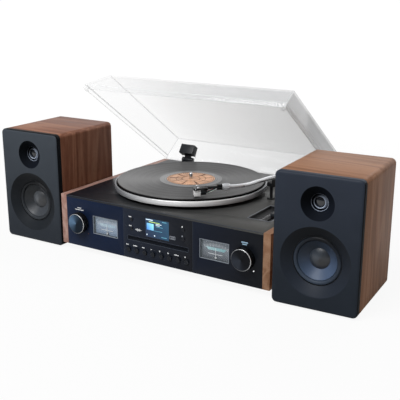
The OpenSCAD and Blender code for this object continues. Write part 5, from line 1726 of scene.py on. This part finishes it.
@dataclass
class Tonearm:
    """The arm, its weight and what stands round its pivot."""

    shop: Workshop
    pivot: Triple = (160.0, 262.0, 153.0)
    heading: float = 239.2
    deck_z: float = 116.0
    tube_r: float = 4.0
    rear_l: float = 44.5
    mid_l: float = 54.5
    bend1_r: float = 60.0
    bend2_r: float = 58.0
    headings: Triple = (-4.5, 21.0, -18.0)
    collar_start: float = 5.0
    collar_l: float = 14.5
    collar_r: float = 6.3
    dial_v: float = 25.0

    def __post_init__(self) -> None:
        """Works out the arm's frames and its bends."""
        self.at = shifted(*self.pivot) @ turned(self.heading, "Z")
        self.floor = shifted(self.pivot[0], self.pivot[1], 0) @ turned(self.heading, "Z")
        h0, h1, h2 = self.headings

        def ray(a: float, l: float) -> Vector:
            """Gives a vector of length l along angle a."""
            return Vector((l * math.cos(math.radians(a)), l * math.sin(math.radians(a)), 0))
        start = ray(h0, self.rear_l)
        mid1 = start + ray(h0 + 90, self.bend1_r)
        bend1 = [mid1 + ray(h0 - 90 + (h1 - h0) * i / 10, self.bend1_r) for i in range(11)]
        mid2 = bend1[-1] + ray(h1, self.mid_l) + ray(h1 - 90, self.bend2_r)
        bend2 = [mid2 + ray(h1 + 90 - (h1 - h2) * i / 12, self.bend2_r) for i in range(13)]
        self.path = [Vector((0, 0, 0)), *bend1, *bend2, bend2[-1] + ray(h2, self.collar_start + 0.4)]
        self.shell = self.at @ Matrix.Translation(bend2[-1]) @ turned(h2, "Z")

    def build(self) -> None:
        """Builds the arm's pieces."""
        shop = self.shop
        self._tube()
        shop.refine("arm_gimbal", SILVER, 0.3)
        shop.refine("tonearm_base", BLACK_PLASTIC, 0.5)
        shop.refine("headshell", GLOSS_BLACK, 0.4)
        back = self.shell.inverted()
        shop.refine("cartridge", (SHELL_WHITE, GREY_PLASTIC, DARK_STEEL), 0.35,
                    sort=lambda p: 2 if (back @ p).z > -2.9 else int((back @ p).x < 62.3))
        shop.refine("cue_platform", BLACK_PLASTIC, 0.3)
        shop.refine("cue_lever", CHROME, 0.4)
        self._wires()
        self._weight()
        self._dial()
        self._base_trim()

    def _tube(self) -> None:
        """Bends the tube and fits its pivot block, stub and knurled collar."""
        shop = self.shop
        made = shop.grown("arm_tube", shop.recipes.tube, self.at, SILVER, "arm", "brushed_silver",
                          seed=seeded("arm_path", self.path), Sides=32, Radius=self.tube_r)
        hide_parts("tonearm_tube")
        block = Form().box((0, 0, 0), (20, 20, 12.5), self.at, 0.8, 3)
        block.rod((0, -16.6, 0), (0, 16.6, 0), 1.5, self.at)
        block.rod((0, 0, 0), (-56, 0, 0), 5.0, self.at, 0.5, 40)
        block.lathe([(4.0, 9.9), (5.6, 9.9), (5.6, 11.6), (5.1, 12.2), (4.0, 12.2)], self.at @ ALONG_X, 40)
        shop.place("arm_pivot_block", block, DARK_STEEL, "arm", "brushed_silver")
        c, l = self.collar_r, self.collar_l
        at = self.shell @ shifted(self.collar_start, 0, 0) @ ALONG_X
        collar = Form().lathe([(0, 0), (c - 1.4, 0), (c - 0.8, 0.4), (c - 0.5, 1.2), (c - 0.5, 2.2), (c - 0.1, 2.6),
                               (c - 0.1, l - 2.4), (c - 0.6, l - 2.0), (c - 0.6, l - 0.4), (c - 1.0, l), (0, l)],
                              at, 48)
        collar.rod((self.collar_start + l / 2, 0, -5), (self.collar_start + l / 2, 0, -9.2), 1.2, self.shell)
        shop.place("arm_collar", collar, SILVER, "arm", "brushed_silver")
        shop.grown("arm_collar_knurl", shop.recipes.ribs, at @ shifted(0, 0, l / 2 + 0.1), SILVER, "arm",
                   "brushed_silver", Count=40, Radius=c - 0.15, Rib_radius=0.3, Length=l - 5.4)

    def _wires(self) -> None:
        """Runs four thin wires to the cartridge, and fits the shell's ring, screws and finger lift."""
        shop, start = self.shop, self.collar_start + self.collar_l + 11
        ring = Form().lathe([(4.6, 0), (5.7, 0), (5.7, 1.0), (5.3, 1.4), (4.6, 1.4)],
                            self.shell @ shifted(start - 11.2, 0, 0) @ ALONG_X, 40)
        for way in (-1, 1):
            ring.lathe([(0, 0), (2.3, 0), (2.3, 1.6), (2.0, 1.9), (1.0, 1.9), (0.9, 1.4), (0, 1.4)],
                       self.shell @ shifted(start + 37, way * 6.35, 1.0), 24)
        shop.place("shell_ring", ring, SILVER, "arm", "chrome_steel")
        spots = smooth_line([(start + 41, 7.0, 0.0), (start + 41, 9.0, 0.0), (start + 41.6, 11.0, 0.1),
                             (start + 42.6, 12.5, 0.3)])
        shop.grown("finger_lift", shop.recipes.tube, self.shell, CHROME, "arm", "chrome_steel",
                   seed=seeded("lift_path", spots), Sides=12, Radius=0.8)
        for k, finish in enumerate(WIRE_COLOURS):
            y = -3.9 + 2.6 * k
            spots = [(start - 0.5, y * 0.55, -1.2), (start + 4, y * 0.9, -3.6), (start + 10, y * 1.15, -6.2),
                     (start + 16, y * 1.1, -8.2), (start + 19, y, -9.6), (start + 21.3, y * 0.8, -10.6)]
            shop.grown(f"shell_wire_{k + 1}", shop.recipes.tube, self.shell, finish, "arm", "black_plastic",
                       seed=seeded("wire_path", smooth_line(spots)), Sides=10, Radius=0.45)

    def _weight(self) -> None:
        """Turns the counterweight with its knurl and its numbered scale ring."""
        at = self.at @ turned(-90, "Y") @ shifted(0, 0, 24)
        form = Form().lathe([(5.06, 0), (12.4, 0), (13.0, 0.5), (13.3, 6.4), (12.6, 6.8), (12.6, 7.6), (13.4, 8.0),
                             (13.4, 23.4), (12.8, 24.6), (11.6, 25.4), (10.8, 26.0), (5.06, 26.0)], at, 96)
        shop, body = self.shop, "balance_weight"
        shop.place("counterweight_body", form, DARK_STEEL, body, "dark_steel", "counterweight")
        shop.grown("counterweight_knurl", shop.recipes.ribs, at @ shifted(0, 0, 15.6), DARK_STEEL, body,
                   "dark_steel", Count=64, Radius=13.35, Rib_radius=0.4, Length=14.0)
        shop.grown("counterweight_scale", shop.recipes.ticks, at @ shifted(0, 0, 3.4), MARK_WHITE, body,
                   "cartridge_white", Count=30, Radius=13.2, Start=0.0, Sweep=math.radians(348),
                   Tick=(0.3, 0.4, 3.2))

    def _dial(self) -> None:
        """Turns the anti-skate dial with its ribs and scale."""
        at = self.floor @ shifted(0, self.dial_v, self.deck_z + 5.3)
        form = Form().lathe([(0, -3.8), (2.5, -3.8), (2.5, 0), (6.4, 0), (6.7, 0.3), (6.7, 5.8), (6.2, 6.6),
                             (5.4, 7.0), (4.9, 6.8), (0, 6.8)], at, 64)
        shop, body = self.shop, "anti_skate"
        shop.place("anti_skate_dial_body", form, BLACK_PLASTIC, body, "black_plastic",
                   "anti_skate_dial")
        shop.grown("anti_skate_ribs", shop.recipes.ribs, at @ shifted(0, 0, 3.2), BLACK_PLASTIC, body,
                   "black_plastic", Count=36, Radius=6.6, Rib_radius=0.3, Length=4.8)
        shop.grown("anti_skate_scale", shop.recipes.ticks, at @ shifted(0, 0, 6.84), MARK_WHITE, body,
                   "cartridge_white", Count=12, Radius=4.1, Start=0.0, Sweep=math.radians(270),
                   Tick=(1.1, 0.25, 0.08))

    def _base_trim(self) -> None:
        """Rings the arm's base and caps the lever with a grip."""
        ring = Form().lathe([(36.2, 4.9), (37.9, 4.9), (38.02, 5.05), (37.7, 5.3), (36.6, 5.3)],
                            self.floor @ shifted(0, 0, self.deck_z), 96)
        self.shop.place("arm_base_ring", ring, TRIM_GREY, "main_unit", "brushed_silver")
        grip = Form().box((18 + 26.0, 24, 128), (9.0, 6.2, 3.8), self.floor, 0.7, 3)
        self.shop.place("cue_lever_grip", grip, BLACK_PLASTIC, "lift_lever", "black_plastic")


def smooth_line(spots: Sequence[Triple]) -> list[Triple]:
    """Runs a smooth line through points.

    Args:
        spots: The points.

    Returns:
        The points of the line.
    """
    padded = [spots[0], *spots, spots[-1]]
    line: list[Triple] = []
    for a, b, c, d in zip(padded, padded[1:], padded[2:], padded[3:]):
        for i in range(LINE_STEPS):
            t = i / LINE_STEPS
            line.append(tuple(0.5 * (2 * q + (r - p) * t + (2 * p - 5 * q + 4 * r - s) * t * t
                                     + (3 * q - p - 3 * r + s) * t ** 3)
                              for p, q, r, s in zip(a, b, c, d)))
    line.append(tuple(spots[-1]))
    return line


# Deck and cover


@dataclass
class DeckAndCover:
    """The slider in the deck, the dust cover and its hinges."""

    shop: Workshop
    well: Pair = (181.0, 105.0)
    well_size: Pair = (46.0, 90.0)
    slider_x: float = 190.0
    deck_z: float = 116.0

    def build(self) -> None:
        """Builds these pieces."""
        shop = self.shop
        shop.refine("slider_well", BLACK_PLASTIC, 0.3)
        shop.refine("cover_hinge_bases", GREY_PLASTIC, 0.4)
        shop.refine("cover_hinge_arms", GREY_PLASTIC, 1.2, segments=3)
        # Its bevels take the white edge finish: painted highlights.
        shop.refine("dust_cover", (COVER_CLEAR, COVER_EDGE_HIGHLIGHT), 0.9, segments=2, angle=12, edge_index=1)
        self._slider()

    def _slider(self) -> None:
        """Rims the slider's recess, prints its scale and ribs its cap."""
        shop = self.shop
        rim = Form().hoop(self.well_size[0], self.well_size[1], 1.0,
                          [(-0.7, 0.0), (-0.7, 0.25), (-0.5, 0.4), (0.1, 0.4), (0.3, 0.25), (0.3, 0.0)],
                          shifted(*self.well, self.deck_z), closed=True)
        shop.place("slider_rim", rim, TRIM_GREY, "main_unit", "brushed_silver")
        scale = Form()
        floor = self.deck_z - 5
        for k in range(15):
            long = k % 7 == 0
            scale.plate(6.0 if long else 3.4, 0.5, 0.08,
                        shifted(self.slider_x - 14.0 + (0 if long else 1.3), self.well[1] - 28 + 4 * k, floor),
                        0.1, 0.01)
        shop.place("slider_scale", scale, MARK_WHITE, "main_unit", "cartridge_white")
        cap = Form()
        x, y = self.slider_x, self.well[1]
        cap.box((x, y, 114.3), (14, 9, 5.4), bevel=0.5, segments=3)
        cap.box((x, y, 107.0), (2.2, 6, 9.0), bevel=0.2)
        for k in range(5):
            cap.box((x, y - 3.2 + 1.6 * k, 117.0), (13.0, 0.7, 0.9), bevel=0.2)
        shop.place("pitch_slider_cap", cap, GREY_PLASTIC, "slider", "grey_plastic", "pitch_slider")
        line = Form().plate(12.4, 0.5, 0.1, shifted(x, y, 117.42), 0.1, 0.01)
        shop.place("pitch_slider_line", line, MARK_WHITE, "slider", "cartridge_white")


# Speakers


@dataclass
class Speaker:
    """One shelf speaker."""

    shop: Workshop
    side: Side
    width: float = 150.5
    height: float = 231.0
    pad_h: float = 3.0
    baffle_t: float = 11.5
    corner_r: float = 9.0
    edge_r: float = 5.0
    dish_d: float = 10.0
    woofer_z: float = 86.984
    woofer_dish_r: float = 60.4
    woofer_r: float = 43.0
    tweeter_z: float = 186.94
    tweeter_dish_r: float = 28.3
    dome_r: float = 12.5
    cone_edge_r: float = 34.2
    cone_edge_d: float = 12.7
    cone_depth: float = 15.0
    throat_r: float = 12.4
    cap_r: float = 18.0
    cap_h: float = 5.0
    roll_r: float = 3.6

    def __post_init__(self) -> None:
        """Works out the speaker's frames."""
        if self.side is Side.LEFT:
            self.at = shifted(-313.5, 6.5, 0) @ turned(1, "Z")
        else:
            self.at = shifted(322, -2, 0) @ turned(3, "Z")

    def front(self, z: float, depth: float = 0.0) -> Matrix:
        """Gives a frame on the baffle's front, or some way behind it, with its Z towards the viewer."""
        return self.at @ shifted(0, depth - self.baffle_t, z) @ FACING_FRONT

    def build(self) -> None:
        """Builds the speaker's pieces."""
        shop, name = self.shop, self.side.value
        shop.refine(f"speaker_cabinet_{name}", CABINET[self.side], 0.9, segments=2, angle=30)
        self._baffle()
        self._woofer()

    def _baffle(self) -> None:
        """Presses the baffle: round edges and two dishes with soft rims."""
        middle = self.pad_h + self.height / 2
        at = self.front(middle)
        form = Form()
        e, t, slope = self.edge_r, self.baffle_t, (self.woofer_dish_r - self.woofer_r) / self.dish_d
        steps = [math.radians(a) for a in range(0, 91, 10)]
        edge = [(e + 0.5, 0.0)] + [(e * (1 - math.sin(a)), -e * (1 - math.cos(a))) for a in steps] + [(0, -t)]
        rings = [form.ring([(x, y, z) for x, y in rounded(self.width - 2 * i, self.height - 2 * i,
                                                          self.corner_r - 0.8 * i, 8)], at) for i, z in edge]
        for k in range(len(rings) - 1):
            form.bridge(rings[k], rings[k + 1], k / 20, (k + 1) / 20)
        # The far part of the edge rounding, all round on the left speaker and at the sides on the right one, gets the
        # near-black edge finish: painted shade.
        for face in form.bm.faces:
            spot = at.inverted() @ face.calc_center_median()
            in_painted_shade = self.side is Side.LEFT or abs(spot.x) > self.width / 2 - 1.5
            face.material_index = 3 if spot.z < -0.4 * e and in_painted_shade else 0
            face.tag = True
        bores = []
        horn_r = self.dome_r + 2.5
        tweeter_slope = (self.tweeter_dish_r - horn_r) / self.dish_d
        for z, r, bore, k in ((self.woofer_z, self.woofer_dish_r, self.woofer_r, slope),
                              (self.tweeter_z, self.tweeter_dish_r, horn_r, tweeter_slope)):
            soft = 0.7 if r > 40 else 0.4
            line = eased((r + soft, 0.0), (r, 0.0), (r - soft, -soft / k))
            line += [(bore + 0.6, -self.dish_d + 0.6 / k), (bore, -self.dish_d - 0.1), (bore, -t)]
            place = shifted(0, z - middle, 0)
            turns = [2 * math.pi * i / 96 for i in range(96)]
            loops = [form.ring([(q * math.cos(a), q * math.sin(a), h) for a in turns], at @ place)
                     for q, h in line]
            form.paint(0)
            for i in range(len(loops) - 1):
                form.bridge(loops[i], loops[i + 1], i / 20, (i + 1) / 20)
            form.paint(1 if r > 40 else 2)
            bores.append((loops[0], loops[-1]))
        normal = (at.to_3x3() @ Vector((0, 0, 1))).normalized()
        for outer, inner, way in ((rings[0], [b[0] for b in bores], normal),
                                  (rings[-1], [b[1] for b in bores], -normal)):
            edges = []
            for loop in (outer, *inner):
                edges += [form.bm.edges.get((a, b)) for a, b in zip(loop, loop[1:] + loop[:1])]
            bmesh.ops.triangle_fill(form.bm, use_beauty=True, use_dissolve=False, edges=edges, normal=way)
        form.paint(0)
        name, finishes = self.side.value, (BAFFLE[self.side], DISH[self.side], HORN_BLACK, BAFFLE_EDGE_SHADE)
        self.shop.place(f"baffle_{name}_finished", form, finishes, "main_unit", "baffle_slate",
                        f"speaker_baffle_{name}", sharp=40)

    def _woofer(self) -> None:
        """Fits the cone, its cap and the near-black ring round them, a painted shade of the gap there."""
        shop, name = self.shop, self.side.value
        at = self.front(self.woofer_z)
        e_r, e_d = self.cone_edge_r, -self.cone_edge_d
        floor = e_d - self.cone_depth
        line = [(e_r, e_d - 0.5), (e_r, e_d + 0.3), (e_r - 0.6, e_d + 0.5)]
        for k in range(1, 8):
            t = k / 8
            line.append((e_r + (self.throat_r - e_r) * t, e_d + 0.5 + (floor - e_d) * t - 0.8 * math.sin(math.pi * t)))
        line += [(self.throat_r, floor + 0.5), (self.throat_r, floor - 28.0), (self.throat_r + 0.9, floor - 28.0),
                 (self.throat_r + 0.9, floor - 0.9)]
        form = Form().lathe(line, at)
        shop.place(f"cone_{name}_finished", form, CONE[self.side], f"cone_{name}", "cone_slate",
                   f"woofer_cone_{name}", sharp=50)
        base = e_d - (e_r - self.cap_r) * self.cone_depth / (e_r - self.throat_r)
        ball = (self.cap_r ** 2 + self.cap_h ** 2) / (2 * self.cap_h)
        dome = []
        for k in range(13):
            r = self.cap_r * (1 - k / 12)
            dome.append((r, base + self.cap_h - ball + math.sqrt(ball * ball - r * r) + 0.1))
        cap = Form().lathe([(0, base - 0.4), (self.cap_r - 1.0, base - 0.4), (self.cap_r, base - 0.6)] + dome, at)
        shop.place(f"dust_cap_{name}", cap, CAP[self.side], f"cone_{name}", "cone_slate", sharp=60)
        ring = Form().lathe([(41.9, -11.6), (42.95, -11.6), (42.95, -10.2), (42.7, -9.9), (42.2, -10.1)], at)
        shop.place(f"woofer_gap_painted_shade_{name}", ring, WOOFER_GAP_SHADE, "main_unit", "brushed_silver")


@dataclass
class Drivers:
    """What the two speakers share: surrounds, baskets and tweeters."""

    shop: Workshop
    speakers: Sequence[Speaker]

    def build(self) -> None:
        """Builds these pieces."""
        self.shop.dress("woofer_frames", BLACK_METAL)
        roll, horn, dome = Form(), Form(), Form()
        for index, speaker in enumerate(self.speakers):
            self._surround(roll, speaker)
            roll.paint(index)
            self._tweeter(horn, dome, speaker)
        place = self.shop.place
        place("surrounds_finished", roll, [SURROUND[side] for side in Side], "main_unit",
              "black_rubber", "woofer_surrounds", sharp=60)
        place("tweeter_horns", horn, (HORN_BLACK, TWEETER_RING), "main_unit", "black_plastic",
              "tweeters")
        place("tweeter_domes", dome, DOME_SILK, "main_unit", "black_plastic", sharp=60)

    @staticmethod
    def _surround(form: Form, speaker: Speaker) -> None:
        """Adds one rubber half roll.

        Args:
            form: The form that it is added to.
            speaker: The speaker that it is in.
        """
        mid = speaker.woofer_r - 1.2 - speaker.roll_r
        deep = -speaker.cone_edge_d
        outer = [(speaker.woofer_r - 0.1, deep - 0.8), (speaker.woofer_r - 0.1, deep + 0.4)]
        for r, way in ((speaker.roll_r, 1), (speaker.roll_r - 1.0, -1)):
            for a in range(0, 181, 15)[::way]:
                t = math.radians(a)
                outer.append((mid + r * math.cos(t), deep + 0.1 + r * math.sin(t)))
            if way > 0:
                outer += [(speaker.cone_edge_r + 0.3, deep + 0.3), (speaker.cone_edge_r + 0.3, deep - 0.6)]
        form.lathe(outer, speaker.front(speaker.woofer_z))

    @staticmethod
    def _tweeter(horn: Form, dome: Form, speaker: Speaker) -> None:
        """Adds one tweeter: throat, an inner ring with a painted highlight on one side, body and dome.

        Args:
            horn: The form of the hard parts.
            dome: The form of the dome.
            speaker: The speaker that it is in.
        """
        at = speaker.front(speaker.tweeter_z, speaker.baffle_t)
        throat = speaker.dome_r + 2.5
        horn.lathe([(throat, 0.0), (28.0, 0.0), (30.2, -0.3), (30.2, -5.0), (24.0, -5.0), (24.0, -24.9), (0, -24.9),
                    (0, -6.2), (speaker.dome_r + 0.4, -5.2), (speaker.dome_r + 0.6, -4.6)], at)
        horn.paint(0)
        horn.lathe([(throat - 0.1, 0.2), (throat - 0.1, 0.9), (throat - 0.6, 1.0), (throat - 0.8, 0.4)], at)
        horn.lathe([(9.0, -0.2), (10.2, -0.2), (10.4, 0.5), (10.0, 1.0), (9.4, 1.0), (9.0, 0.5)], at)
        horn.lathe([(9.2, 0.2), (10.2, 0.2), (12.6, -5.4), (11.6, -5.4)], at)
        horn.paint(1)
        r0, h = speaker.dome_r, 4.5
        ball = (r0 * r0 + h * h) / (2 * h)
        line = [(0, -5.9), (r0 - 0.4, -5.9), (r0, -5.6)]
        for k in range(13):
            r = r0 * (1 - k / 12)
            line.append((r, -5.0 + h - ball + math.sqrt(ball * ball - r * r)))
        dome.lathe(line, at)


def main() -> None:
    """Builds the music centre."""
    logging.basicConfig(level=logging.INFO, format="%(message)s")
    Studio().build()
    shop = Workshop()
    Case(shop).build()
    FrontControls(shop).build()
    Turntable(shop).build()
    Tonearm(shop).build()
    DeckAndCover(shop).build()
    speakers = [Speaker(shop, side) for side in Side]
    for speaker in speakers:
        speaker.build()
    Drivers(shop, speakers).build()


if __name__ == "__main__":
    main()
